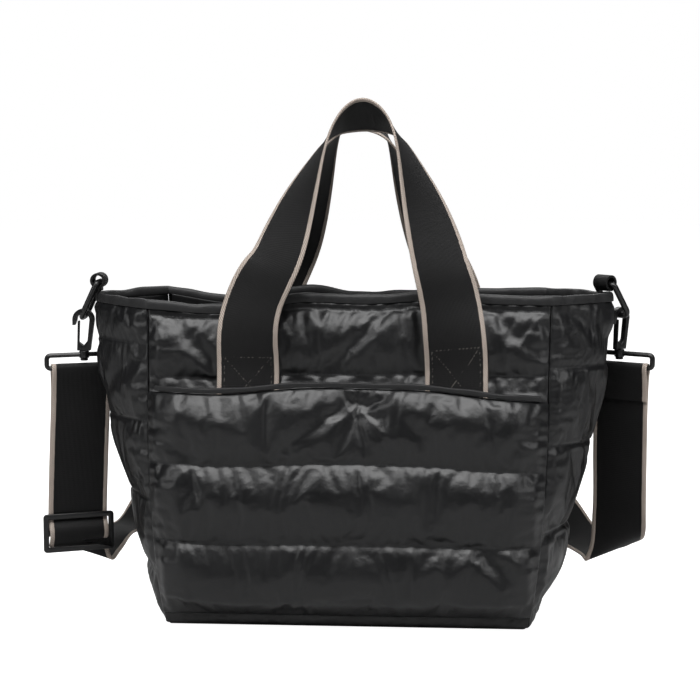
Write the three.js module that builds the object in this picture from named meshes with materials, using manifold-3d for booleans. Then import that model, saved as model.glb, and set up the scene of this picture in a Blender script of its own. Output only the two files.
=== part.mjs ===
// A quilted nylon tote bag with an open mouth, a front pocket, two webbing handles and a clip-on shoulder strap.
// Millimetres, +Z up. The origin is the middle of the base, on the surface it stands on. The pocket faces -Y.

import * as THREE from "three";
import { mergeVertices } from "three/addons/utils/BufferGeometryUtils.js";
import Module from "manifold-3d";

const wasm = await Module();
wasm.setup();

const { clamp, lerp, smoothstep, degToRad } = THREE.MathUtils;
const UP = new THREE.Vector3(0, 0, 1);

// The gap kept between pieces that are sewn together or touch.
const GAP = 0.35;

// Body
const BODY_HEIGHT = 266;
const PANEL_HALF_WIDTH = 163; // half the front panel's width, from seam to seam at the mouth
const GUSSET_REACH = 214; // from the middle of the bag to a gusset's outer fold at the mouth
const BASE_HALF_DEPTH = 75;
const MOUTH_HALF_DEPTH = 50;
const PANEL_BOW = 6; // how far the front and back panels belly out at half height
const SEAM_THICKNESS = 2;
const LINING_PUFF = 1.2; // how far the padding pushes the inner face in
const WALL_FOOT = 1.6; // the walls' lower edges stay this far above the floor
const SEAM_PINCH = 17; // over this length the padding thins out to a vertical seam
const BINDING_HEIGHT = 6.2;
const BINDING_HALF_THICKNESS = 2.3;
const FACING_HEIGHT = 20;
const FACING_THICKNESS = 1.1;

// Base panel
const BASE_THICKNESS = 6;

// Pocket
const POCKET_HEIGHT = 196;
const POCKET_FOOT = 11;
const POCKET_ROOM = 9.6; // clear depth of the pocket between its wall and the front panel
const POCKET_PINCH = 30; // over this length the pocket's wall comes back to the side seams
const POCKET_PUFF = 7;
const SNAP_RADIUS = 7;
const SNAP_THICKNESS = 2.4;
const SNAP_SPREAD = 24; // how far around the snap the pocket is drawn in
const SNAP_ACROSS = 0.526; // share of the panel's width
const SNAP_DROP = 22; // below the pocket's top edge

// Handles
const WEBBING_WIDTH = 50;
const HANDLE_THICKNESS = 2;
const HANDLE_HALF_GAP = 59; // from a handle's middle to the inner edge of a sewn end
const HANDLE_FOOT = 176; // height of the sewn ends

// Side hardware
const TAB_WIDTH = 15;
const TAB_OUTER_RADIUS = 6.4;
const TAB_THICKNESS = 2;
const RING_WIRE = 2.5;
const RING_CORNER = 2.8; // of its upper corners, beside the tab
const RING_BEND = 7; // of its lower corners
const RING_HEIGHT = 32.3;
const HOOK_HEIGHT = 35.4;
const HOOK_TOP_RADIUS = 9.3;
const HOOK_EYE_RADIUS = 5.3;
const HOOK_HALF_FOOT = 5.6;
const HOOK_THICKNESS = 5;
const HOOK_GATE = 1.4;
const STUD_RADIUS = 1.6;
const STUD_HEAD_RADIUS = 3.3;
const STUD_HEAD = 1.8;
const BOSS_RADIUS = 4.2;
const BOSS_HALF_HEIGHT = 3;
const LOOP_WIRE = 2.2;
const LOOP_SPACING = 11; // between the middles of the strap loop's two bars
const LOOP_CORNER = 3.2;

// Shoulder strap
const STRAP_THICKNESS = 1.6;
const SLIDER_HEIGHT = 33;
const SLIDER_BAR = 4.6;
const SLIDER_THICKNESS = 2.6;
const SLIDER_RISE = 10.524; // from the middle of the strap's turn on that side to the slider's
const SLIDER_OUT = 4; // how much further out than the strap loop it hangs
const STRAP_TAIL = 28; // the sewn overlap at the strap's right end

// Where each side's hardware is, as seen from the front; angles in degrees, about +Z. drop is how far below
// the mouth the strap loop's upper bar hangs.
const SIDES = {
  left: { sign: -1, tabOut: 1.5, tabBack: 4, tabRise: 8, turn: 0, loopTurn: 24, loopShift: -3.2, drop: 54.7 },
  right: { sign: 1, tabOut: 0.5, tabBack: 9, tabRise: 8, turn: 42, loopTurn: -31, loopShift: 1.8, drop: 52 },
};

// Half width to the seams and reach of the gusset fold, as shares of their sizes at the mouth, the depth's
// share of the way from the mouth's half depth to the base's, and how far forward of the middle the gusset
// fold lies, as a share of the depth there, by share of the height.
const BODY_SECTIONS = [
  { height: 0, seam: 0.895, fold: 0.715, depth: 1, forward: 0 },
  { height: 0.15, seam: 0.935, fold: 0.8, depth: 0.99, forward: 0.06 },
  { height: 0.34, seam: 0.965, fold: 0.845, depth: 0.93, forward: 0.16 },
  { height: 0.6, seam: 0.985, fold: 0.93, depth: 0.66, forward: 0.28 },
  { height: 0.78, seam: 0.99, fold: 0.975, depth: 0.38, forward: 0.26 },
  { height: 1, seam: 1, fold: 1, depth: 0, forward: 0 },
];

// Quilted channels from the base up: the seam that closes each one, and how far it puffs out in mm.
const PANEL_CHANNELS = [
  { top: 0.0375, puff: 0.4 },
  { top: 0.274, puff: 2 },
  { top: 0.511, puff: 2 },
  { top: 0.763, puff: 2.6 },
  { top: 0.952, puff: 6 },
  { top: 1, puff: 1.4 },
];
const BACK_CHANNELS = PANEL_CHANNELS.map((row, i) => ({ ...row, puff: [0.4, 6.5, 6.5, 6.5, 6, 1.4][i] }));
const GUSSET_CHANNELS = {
  left: [
    { top: 0.158, puff: 3.4 },
    { top: 0.385, puff: 4.2 },
    { top: 0.626, puff: 4 },
    { top: 0.86, puff: 3.8 },
    { top: 1, puff: 3.4 },
  ],
  right: [
    { top: 0.055, puff: 1.6 },
    { top: 0.293, puff: 4.2 },
    { top: 0.556, puff: 4.4 },
    { top: 0.786, puff: 4 },
    { top: 1, puff: 3.4 },
  ],
};
const POCKET_SEAMS = [0.3395, 0.68]; // shares of the way from its foot to its top edge

// How the mouth's edge and the pocket's edge rise and fall, in mm, by share of the way across.
const FRONT_RIM = [
  { across: 0, lift: -3.5 },
  { across: 0.19, lift: -7 },
  { across: 0.38, lift: 3 },
  { across: 0.55, lift: 2 },
  { across: 0.7, lift: 5 },
  { across: 0.86, lift: 2.5 },
  { across: 1, lift: 1.5 },
];
const BACK_RIM = [
  { across: 0, lift: 0.5 },
  { across: 0.3, lift: -1.5 },
  { across: 0.5, lift: -4 },
  { across: 0.63, lift: 2 },
  { across: 0.82, lift: -8 },
  { across: 1, lift: 0.5 },
];
const POCKET_RIM = [
  { across: 0, lift: 1 },
  { across: 0.2, lift: 0 },
  { across: 0.5, lift: 2.5 },
  { across: 0.7, lift: 0 },
  { across: 0.85, lift: -4.5 },
  { across: 1, lift: -7.5 },
];

// The main folds: grooves from one place to another, in shares of the panel's width and of the body's height.
const FOLDS = {
  front: [
    { from: [0.63, 0.98], to: [0.46, 0.79], depth: 3.2, spread: 7 },
    { from: [0.06, 0.95], to: [0.16, 0.82], depth: 2.2, spread: 8 },
    { from: [0.86, 0.94], to: [0.97, 0.83], depth: 2, spread: 8 },
  ],
  pocket: [
    { from: [0.5, 0.66], to: [0.36, 0.56], depth: 3.4, spread: 8 },
    { from: [0.55, 0.66], to: [0.68, 0.6], depth: 2.6, spread: 8 },
    { from: [0.02, 0.6], to: [0.1, 0.53], depth: 3, spread: 7 },
    { from: [0.98, 0.62], to: [0.9, 0.54], depth: 2.6, spread: 7 },
    { from: [0.02, 0.34], to: [0.12, 0.42], depth: 2.4, spread: 8 },
    { from: [0.97, 0.12], to: [0.86, 0.24], depth: 3, spread: 8 },
  ],
  left: [{ from: [0.95, 0.82], to: [0.5, 0.68], depth: 3, spread: 9 }],
  right: [{ from: [0.05, 0.96], to: [0.5, 0.84], depth: 2.6, spread: 9 }],
  back: [
    { from: [0.3, 0.95], to: [0.42, 0.79], depth: 2.6, spread: 9 },
    { from: [0.75, 0.5], to: [0.6, 0.36], depth: 2.6, spread: 10 },
  ],
};

// The two handles: the wall each is sewn to, how far its middle stands to the right of the bag's, how much
// further its top leans, how far its top edge rises above the mouth, how much narrower its arch grows towards
// the top, and the share of the tabled dip it takes.
const HANDLES = {
  front: { side: 0, middle: 5, lean: 6.5, height: 160, narrowing: 0, dipping: 1 },
  back: { side: 2, middle: 5, lean: 0.5, height: 156, narrowing: 0.2, dipping: 0.8 },
};

// One leg of a handle, by share of the way from its sewn end to the top: height as a share of the rise above
// the mouth, the lean and the half gap to its inner edge as shares, how far that edge stands out from the wall
// as a share of the webbing's width, the turn of the width away from straight across and the dip of the outer
// edge in degrees, and how square the width stays to the path. The last row lies past the top.
const HANDLE_LEG = [
  { way: 0, rise: -0.34, lean: -0.1, half: 0.99, out: 0, turn: 0, dip: 0, square: 1 },
  { way: 0.118, rise: -0.17, lean: -0.28, half: 0.98, out: 0.22, turn: 11, dip: 0, square: 1 },
  { way: 0.202, rise: -0.05, lean: -0.14, half: 0.94, out: 0.39, turn: 20, dip: 0, square: 1 },
  { way: 0.276, rise: 0.05, lean: 0.2, half: 0.85, out: 0.5, turn: 26, dip: 0, square: 1 },
  { way: 0.343, rise: 0.14, lean: 0.48, half: 0.765, out: 0.5, turn: 28, dip: 0, square: 1 },
  { way: 0.4, rise: 0.22, lean: 0.62, half: 0.705, out: 0.43, turn: 29, dip: 0, square: 1 },
  { way: 0.5, rise: 0.36, lean: 0.66, half: 0.63, out: 0.28, turn: 37, dip: 0, square: 1 },
  { way: 0.612, rise: 0.52, lean: 0.7, half: 0.565, out: 0.12, turn: 51, dip: 0, square: 1 },
  { way: 0.752, rise: 0.72, lean: 0.82, half: 0.495, out: 0, turn: 74, dip: 3, square: 0.9 },
  { way: 0.83, rise: 0.83, lean: 0.93, half: 0.43, out: -0.05, turn: 83, dip: 10, square: 0.6 },
  { way: 0.896, rise: 0.915, lean: 1, half: 0.325, out: -0.1, turn: 88, dip: 20, square: 0.3 },
  { way: 0.945, rise: 0.97, lean: 0.97, half: 0.195, out: -0.14, turn: 90, dip: 29, square: 0.1 },
  { way: 1, rise: 1, lean: 0.95, half: 0, out: -0.16, turn: 90, dip: 33, square: 0 },
  { way: 1.055, rise: 0.97, lean: 0.93, half: -0.195, out: -0.14, turn: 90, dip: 29, square: 0.1 },
];

// The shoulder strap's middle as it turns under each side and goes round the back, as shares of the gusset's
// reach, the base's half depth and the body's height. The webbing's bag-side edge heads the given yaw away
// from straight across and falls the given angle below the horizontal, both in degrees.
const STRAP_TURN = {
  left: [
    { out: 1.06, back: 0.15, up: 0.186, yaw: 26, fall: 4 },
    { out: 1.03, back: 0.31, up: 0.187, yaw: 44, fall: 16 },
    { out: 0.975, back: 0.5, up: 0.214, yaw: 62, fall: 36 },
    { out: 0.87, back: 0.8, up: 0.262, yaw: 60, fall: 64 },
  ],
  right: [
    { out: 1.005, back: 0.34, up: 0.208, yaw: 34, fall: 8 },
    { out: 0.985, back: 0.5, up: 0.212, yaw: 46, fall: 20 },
    { out: 0.945, back: 0.68, up: 0.235, yaw: 62, fall: 38 },
    { out: 0.85, back: 0.92, up: 0.268, yaw: 60, fall: 66 },
  ],
};
const STRAP_BACK = [
  { out: 0.72, back: 1.15, up: 0.29, yaw: 30, fall: 84 },
  { out: 0.5, back: 1.26, up: 0.305, yaw: 0, fall: 89 },
  { out: 0.2, back: 1.28, up: 0.31, yaw: 0, fall: 89 },
];
const SLIDER_MIDDLE = STRAP_TURN.left[0].up * BODY_HEIGHT + SLIDER_RISE;

// A value between the rows of a table, smoothly, by one column.
function fromTable(rows, key, at, column) {
  const last = rows.length - 1;
  let i = 0;
  while (i < last - 1 && at > rows[i + 1][key]) i += 1;
  const [p, a, b, n] = [Math.max(i - 1, 0), i, i + 1, Math.min(i + 2, last)].map((k) => rows[k]);
  const t = clamp((at - a[key]) / (b[key] - a[key]), 0, 1);
  const span = b[key] - a[key];
  const slopeA = ((b[column] - p[column]) / (b[key] - p[key])) * span;
  const slopeB = ((n[column] - a[column]) / (n[key] - a[key])) * span;
  const [t2, t3] = [t * t, t * t * t];
  const ends = (2 * t3 - 3 * t2 + 1) * a[column] + (3 * t2 - 2 * t3) * b[column];
  return ends + (t3 - 2 * t2 + t) * slopeA + (t3 - t2) * slopeB;
}

// A closed mesh from corner points and faces of three or four corners, each turning left as seen from outside.
function meshFrom(corners, faces) {
  const index = [];
  faces.forEach(([a, b, c, d]) => {
    index.push(a, b, c);
    if (d !== undefined) index.push(a, c, d);
  });
  const geometry = new THREE.BufferGeometry();
  geometry.setAttribute("position", new THREE.Float32BufferAttribute(corners.flatMap((p) => p.toArray()), 3));
  geometry.setIndex(index);
  geometry.computeVertexNormals();
  return geometry;
}

// A padded sheet: outer(i, j) and inner(i, j) give its two faces, i across from left to right, j upwards.
function sheetGeometry(columns, rows, outer, inner) {
  const corners = [];
  [outer, inner].forEach((face) => {
    for (let j = 0; j <= rows; j += 1) for (let i = 0; i <= columns; i += 1) corners.push(face(i, j));
  });
  const across = columns + 1;
  const innerStart = across * (rows + 1);
  const at = (i, j) => j * across + i;
  const faces = [];
  for (let j = 0; j < rows; j += 1) {
    for (let i = 0; i < columns; i += 1) {
      const quad = [at(i, j), at(i + 1, j), at(i + 1, j + 1), at(i, j + 1)];
      faces.push(quad, quad.map((k) => k + innerStart).reverse());
    }
  }
  const rim = [];
  for (let i = 0; i < columns; i += 1) rim.push(at(i, 0));
  for (let j = 0; j < rows; j += 1) rim.push(at(columns, j));
  for (let i = columns; i > 0; i -= 1) rim.push(at(i, rows));
  for (let j = rows; j > 0; j -= 1) rim.push(at(0, j));
  rim.forEach((k, n) => {
    const next = rim[(n + 1) % rim.length];
    faces.push([k, k + innerStart, next + innerStart, next]);
  });
  return meshFrom(corners, faces);
}

// A solid through cross-sections of equal corner counts; it closes on itself, or ends in flat caps.
function loftGeometry(sections, closed) {
  const sides = sections[0].length;
  const faces = [];
  const spans = closed ? sections.length : sections.length - 1;
  for (let s = 0; s < spans; s += 1) {
    const [here, next] = [s * sides, ((s + 1) % sections.length) * sides];
    for (let k = 0; k < sides; k += 1) {
      const l = (k + 1) % sides;
      faces.push([here + k, here + l, next + l, next + k]);
    }
  }
  if (!closed) {
    const end = (sections.length - 1) * sides;
    for (let k = 1; k < sides - 1; k += 1) {
      faces.push([0, k + 1, k], [end, end + k, end + k + 1]);
    }
  }
  return meshFrom(sections.flat(), faces);
}

function alongAt(path, i) {
  return path[Math.min(i + 1, path.length - 1)].clone().sub(path[Math.max(i - 1, 0)]).normalize();
}

// A direction turned the given share of the way to being square to a path.
function squared(wide, along, share) {
  return wide.clone().addScaledVector(along, -share * wide.dot(along)).normalize();
}

// Flat webbing through stations that each give its middle and the direction of its width.
function webbingGeometry(stations, width, thickness) {
  const path = stations.map((station) => station.at);
  const sections = stations.map(({ at, across }, i) => {
    const out = alongAt(path, i).cross(across).normalize();
    return [[-1, -1], [1, -1], [1, 1], [-1, 1]].map(([w, t]) =>
      at.clone().addScaledVector(across, (w * width) / 2).addScaledVector(out, (t * thickness) / 2),
    );
  });
  return loftGeometry(sections, false);
}

// Round wire bent along a closed flat path; axis is the normal of the path's plane.
function wireGeometry(path, axis, radius, sides) {
  const sections = path.map((at, i) => {
    const along = path[(i + 1) % path.length].clone().sub(path.at(i - 1)).normalize();
    const side = along.clone().cross(axis).normalize();
    return Array.from({ length: sides }, (_, k) => {
      const angle = ((k + 0.5) / sides) * 2 * Math.PI;
      return at.clone().addScaledVector(side, radius * Math.cos(angle)).addScaledVector(axis, radius * Math.sin(angle));
    });
  });
  const ordered = sections.map((section) => section.reverse());
  return loftGeometry(ordered, true);
}

// The middle line of a rounded rectangle, its width along one direction and its height along another.
function roundedPath(centre, wide, high, width, height, lowCorner, highCorner) {
  const steps = 5;
  const path = [];
  const corners = [[1, -1, -90, lowCorner], [1, 1, 0, highCorner], [-1, 1, 90, highCorner], [-1, -1, 180, lowCorner]];
  corners.forEach(([sx, sy, start, corner]) => {
    for (let k = 0; k <= steps; k += 1) {
      const angle = degToRad(start + (90 * k) / steps);
      const u = sx * (width / 2 - corner) + corner * Math.cos(angle);
      const v = sy * (height / 2 - corner) + corner * Math.sin(angle);
      path.push(centre.clone().addScaledVector(wide, u).addScaledVector(high, v));
    }
  });
  return path;
}

function solidOf(geometry) {
  const plain = geometry.clone();
  plain.deleteAttribute("normal");
  plain.deleteAttribute("uv");
  const merged = mergeVertices(plain, 1e-4);
  return new wasm.Manifold(
    new wasm.Mesh({
      numProp: 3,
      vertProperties: new Float32Array(merged.attributes.position.array),
      triVerts: new Uint32Array(merged.index.array),
    }),
  );
}

function geometryOf(solid) {
  const { vertProperties, triVerts } = solid.getMesh();
  const geometry = new THREE.BufferGeometry();
  geometry.setAttribute("position", new THREE.BufferAttribute(vertProperties, 3));
  geometry.setIndex(new THREE.BufferAttribute(triVerts, 1));
  geometry.computeVertexNormals();
  return geometry;
}

// A cylinder that stands upright, from one height to another, on the local origin.
function upright(radius, low, high, sides) {
  return new THREE.CylinderGeometry(radius, radius, high - low, sides)
    .rotateX(Math.PI / 2)
    .translate(0, 0, (low + high) / 2);
}

const direction = (degrees) => new THREE.Vector3(Math.cos(degToRad(degrees)), Math.sin(degToRad(degrees)), 0);

// The bag's plain outer surface without padding. turn runs once round it: 0 to 1 the front from left to
// right, 1 to 2 the right gusset, 2 to 3 the back, 3 to 4 the left gusset. share is the share of the height.
function bodyPoint(turn, share) {
  const wrapped = ((turn % 4) + 4) % 4;
  const side = Math.floor(wrapped);
  const t = wrapped - side;
  const seam = PANEL_HALF_WIDTH * fromTable(BODY_SECTIONS, "height", share, "seam");
  const fold = GUSSET_REACH * fromTable(BODY_SECTIONS, "height", share, "fold");
  const depth = lerp(MOUTH_HALF_DEPTH, BASE_HALF_DEPTH, fromTable(BODY_SECTIONS, "height", share, "depth"));
  const bow = PANEL_BOW * Math.sin(Math.PI * t) * Math.sin(Math.PI * clamp(share, 0, 1));
  const vee = 1 - Math.abs(2 * t - 1) ** 1.3;
  const frontEnds = [fromTable(FRONT_RIM, "across", 0, "lift"), fromTable(FRONT_RIM, "across", 1, "lift")];
  const backEnds = [fromTable(BACK_RIM, "across", 0, "lift"), fromTable(BACK_RIM, "across", 1, "lift")];
  const flat = [
    () => [lerp(-seam, seam, t), -depth - bow, fromTable(FRONT_RIM, "across", t, "lift")],
    () => [lerp(seam, fold, vee), lerp(-depth, depth, t), lerp(frontEnds[1], backEnds[0], t)],
    () => [lerp(seam, -seam, t), depth + bow, fromTable(BACK_RIM, "across", t, "lift")],
    () => [lerp(-seam, -fold, vee), lerp(depth, -depth, t), lerp(backEnds[1], frontEnds[0], t)],
  ];
  const [x, y, lift] = flat[side]();
  const forward = side % 2 ? depth * vee * fromTable(BODY_SECTIONS, "height", share, "forward") : 0;
  return new THREE.Vector3(x, y - forward, share * BODY_HEIGHT + lift * share ** 3);
}

// The surface's outward direction, level at the mouth's edge. At a seam it halves the corner, so that both
// panels meet on one plane.
function bodyNormal(turn, share) {
  const step = 0.012;
  const along = bodyPoint(turn + step, share).sub(bodyPoint(turn - step, share));
  const up = bodyPoint(turn, share + step).sub(bodyPoint(turn, share - step));
  const normal = along.cross(up).normalize();
  return normal.setZ(normal.z * (1 - smoothstep(share, 0.86, TOP_SHARE))).normalize();
}

// How full a channel is at a share of its height: it swells most just under its upper seam.
const fullness = (t) => Math.sin(Math.PI * clamp(t, 0, 1) ** 1.25) ** 0.7;

function channelPuff(channels, share) {
  let low = 0;
  for (const { top, puff } of channels) {
    if (share <= top) return puff * fullness((share - low) / (top - low));
    low = top;
  }
  return 0;
}

// Heights of a panel's rows of corners: few in a narrow or flat channel, more in one that puffs out.
function channelRows(low, channels, high, full) {
  const rows = [];
  let from = low;
  channels.forEach(({ top, puff }) => {
    const to = Math.min(top, high);
    const within = to - from < 0.09 ? [0, 0.5] : [0, 0.33, 0.67];
    (puff > 3 && to - from >= 0.09 ? full : within).forEach((t) => rows.push(lerp(from, to, t)));
    from = to;
  });
  return [...rows, high];
}

// The depth of the folds of one panel at a place on it.
function foldDepth(folds, across, share, width) {
  const place = new THREE.Vector2(across * width, share * BODY_HEIGHT);
  return folds.reduce((sum, { from, to, depth, spread }) => {
    const a = new THREE.Vector2(from[0] * width, from[1] * BODY_HEIGHT);
    const b = new THREE.Vector2(to[0] * width, to[1] * BODY_HEIGHT);
    const run = b.clone().sub(a);
    const t = clamp(place.clone().sub(a).dot(run) / run.lengthSq(), 0, 1);
    const away = place.distanceTo(a.addScaledVector(run, t));
    return sum + depth * Math.exp(-((away / spread) ** 2));
  }, 0);
}

const edgeTaper = (across, width, pinch) => smoothstep(Math.min(across, 1 - across) * width, 0, pinch);

const TOP_SHARE = 1 - (BINDING_HEIGHT + GAP) / BODY_HEIGHT;
const FOOT_SHARE = WALL_FOOT / BODY_HEIGHT;
const PANEL_WIDTH = 2 * PANEL_HALF_WIDTH;
const GUSSET_WIDTH = 2 * BASE_HALF_DEPTH;
const FINE_ROWS = [0, 0.12, 0.4, 0.7, 0.9]; // where a full channel's rows lie, as shares of its height
const FEW_ROWS = [0, 0.15, 0.5, 0.82];
const COLUMNS = [20, 12, 16, 12]; // how finely the front, right, back and left walls are divided across

// One quilted wall of the bag between two seams.
function wallGeometry(side, width, channels, folds, within) {
  const columns = COLUMNS[side];
  const trim = GAP / 2 / width;
  const shares = channelRows(FOOT_SHARE, channels, TOP_SHARE, within);
  const place = (i, j) => [lerp(trim, 1 - trim, i / columns), shares[j]];
  const face = (i, j, offset) => {
    const [t, share] = place(i, j);
    const facing = i === 0 || i === columns ? Math.round(t) : t;
    return bodyPoint(side + t, share).addScaledVector(bodyNormal(side + facing, share), offset(t, share));
  };
  const outer = (t, share) => {
    const taper = edgeTaper(t, width, SEAM_PINCH);
    return taper * Math.max(channelPuff(channels, share) - foldDepth(folds, t, share, width), 0);
  };
  const inner = (t, share) => {
    const above = smoothstep(share * BODY_HEIGHT, 2 * BASE_THICKNESS, 4 * BASE_THICKNESS);
    return -SEAM_THICKNESS - LINING_PUFF * above * edgeTaper(t, width, SEAM_PINCH);
  };
  return sheetGeometry(columns, shares.length - 1, (i, j) => face(i, j, outer), (i, j) => face(i, j, inner));
}

// The base: a flat pad that fills the foot of the walls.
function baseGeometry() {
  const turns = [0, 0.25, 0.5, 0.75];
  const inset = SEAM_THICKNESS + 2 * GAP;
  const outline = [0, 1, 2, 3].flatMap((side) =>
    turns.map((t) => bodyPoint(side + t, 0).addScaledVector(bodyNormal(side + t, 0), -inset)),
  );
  const shape = new THREE.Shape(outline.map((p) => new THREE.Vector2(p.x, p.y)));
  return new THREE.ExtrudeGeometry(shape, { depth: BASE_THICKNESS, bevelEnabled: false });
}

// The folded tape that binds the mouth all round, standing on the walls' upper edges.
function mouthBindingGeometry() {
  const turns = COLUMNS.flatMap((count, side) => Array.from({ length: count }, (_, k) => side + k / count));
  const half = BINDING_HALF_THICKNESS;
  const profile = [[-half, 0], [-half, 0.8], [-0.5 * half, 1], [0.5 * half, 1], [half, 0.8], [half, 0]];
  const sections = turns.map((turn) => {
    const out = bodyNormal(turn, TOP_SHARE).setZ(0).normalize();
    const base = bodyPoint(turn, TOP_SHARE).addScaledVector(out, -SEAM_THICKNESS / 2);
    return profile.map(([o, h]) => base.clone().addScaledVector(out, o).addScaledVector(UP, GAP + h * BINDING_HEIGHT));
  });
  return loftGeometry(sections, true);
}

// The plain facing strip inside the mouth, on the lining of the front or the back.
function facingGeometry(side) {
  const columns = 12;
  const offset = SEAM_THICKNESS + LINING_PUFF + GAP;
  const low = TOP_SHARE - FACING_HEIGHT / BODY_HEIGHT;
  const face = (i, j, depth) => {
    const turn = side + lerp(0.04, 0.96, i / columns);
    const share = lerp(low, TOP_SHARE, j);
    return bodyPoint(turn, share).addScaledVector(bodyNormal(turn, share), -depth);
  };
  return sheetGeometry(columns, 1, (i, j) => face(i, j, offset), (i, j) => face(i, j, offset + FACING_THICKNESS));
}

const UNDER_POCKET_PUFF = 2.6; // the most that the front panel puffs out behind the pocket
const pocketTop = (t) => POCKET_HEIGHT + fromTable(POCKET_RIM, "across", t, "lift");
const snapShare = (POCKET_HEIGHT - SNAP_DROP) / BODY_HEIGHT;

// How much the snap draws the pocket's wall in at a place, from 0 to 1.
function snapPull(t, share) {
  const away = Math.hypot((t - SNAP_ACROSS) * PANEL_WIDTH, (share - snapShare) * BODY_HEIGHT);
  return Math.exp(-((away / SNAP_SPREAD) ** 2));
}

// How far the pocket wall's inner face stands off the body's plain surface.
function pocketStand(t, share) {
  const height = share * BODY_HEIGHT;
  const wall = UNDER_POCKET_PUFF * smoothstep(height, POCKET_FOOT - 6, POCKET_FOOT + 2) * edgeTaper(t, PANEL_WIDTH, 8);
  const room = smoothstep(height, POCKET_FOOT, POCKET_FOOT + 16) * edgeTaper(t, PANEL_WIDTH, POCKET_PINCH);
  const open = GAP + wall + POCKET_ROOM * room;
  const held = channelPuff(PANEL_CHANNELS, snapShare) + SNAP_THICKNESS + 2 * GAP;
  return lerp(open, Math.min(open, held), snapPull(t, share) ** 0.5);
}

function pocketShare(t, climb) {
  const top = pocketTop(t) - BINDING_HEIGHT;
  return lerp(POCKET_FOOT, top, climb) / BODY_HEIGHT;
}

function pocketFace(t, climb, offset) {
  const share = pocketShare(t, climb);
  return bodyPoint(t, share).addScaledVector(bodyNormal(t, share), offset(share));
}

function pocketGeometry() {
  const columns = COLUMNS[0];
  const trim = GAP / 2 / PANEL_WIDTH;
  const channels = [...POCKET_SEAMS, 1].map((top) => ({ top, puff: POCKET_PUFF }));
  const climbs = channelRows(0, channels, 1, FINE_ROWS);
  const across = (i) => lerp(trim, 1 - trim, i / columns);
  const inner = (i, j) => pocketFace(across(i), climbs[j], (share) => pocketStand(across(i), share));
  const outer = (i, j) => {
    const t = across(i);
    return pocketFace(t, climbs[j], (share) => {
      const drawn = 1 - 0.8 * snapPull(t, share);
      const puff = channelPuff(channels, climbs[j]) * drawn - foldDepth(FOLDS.pocket, t, share, PANEL_WIDTH);
      return pocketStand(t, share) + SEAM_THICKNESS + edgeTaper(t, PANEL_WIDTH, SEAM_PINCH) * Math.max(puff, 0);
    });
  };
  return sheetGeometry(columns, climbs.length - 1, outer, inner);
}

function pocketBindingGeometry() {
  const columns = COLUMNS[0];
  const half = BINDING_HALF_THICKNESS * 0.85;
  const profile = [[-half, 0], [-half, 0.8], [0, 1], [half, 0.8], [half, 0]];
  const sections = Array.from({ length: columns + 1 }, (_, i) => {
    const t = lerp(0.02, 0.98, i / columns);
    const share = pocketShare(t, 1);
    const out = bodyNormal(t, share);
    const base = pocketFace(t, 1, () => Math.max(pocketStand(t, share), 2 * GAP) + half);
    return profile.map(([o, h]) => base.clone().addScaledVector(out, o).addScaledVector(UP, GAP + h * BINDING_HEIGHT));
  });
  return loftGeometry(sections, false);
}

// The snap that holds the pocket shut at its middle, between the two layers.
function snapGeometry() {
  const turn = SNAP_ACROSS;
  const out = bodyNormal(turn, snapShare);
  const middle = channelPuff(PANEL_CHANNELS, snapShare) + GAP + SNAP_THICKNESS / 2;
  const lean = new THREE.Quaternion().setFromUnitVectors(new THREE.Vector3(0, 1, 0), out);
  const place = bodyPoint(turn, snapShare).addScaledVector(out, middle);
  return new THREE.CylinderGeometry(SNAP_RADIUS, SNAP_RADIUS, SNAP_THICKNESS, 16)
    .applyQuaternion(lean)
    .translate(...place.toArray());
}

// How far from the middle the wall and its binding reach, across a handle's width and around a height.
function wallReach(side, x, height) {
  const channels = side === 0 ? PANEL_CHANNELS : BACK_CHANNELS;
  const reaches = [-0.55, -0.25, 0, 0.25, 0.55].flatMap((k) => {
    const across = clamp(0.5 + (x + k * WEBBING_WIDTH) / PANEL_WIDTH, 0, 1);
    const turn = side === 0 ? across : side + 1 - across;
    return [-7, 0, 7].map((step) => {
      const share = clamp((height + step) / BODY_HEIGHT, 0, TOP_SHARE);
      const padding = Math.max(channelPuff(channels, share), BINDING_HALF_THICKNESS - SEAM_THICKNESS / 2);
      return Math.abs(bodyPoint(turn, share).y) + padding;
    });
  });
  return Math.max(...reaches);
}

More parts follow.
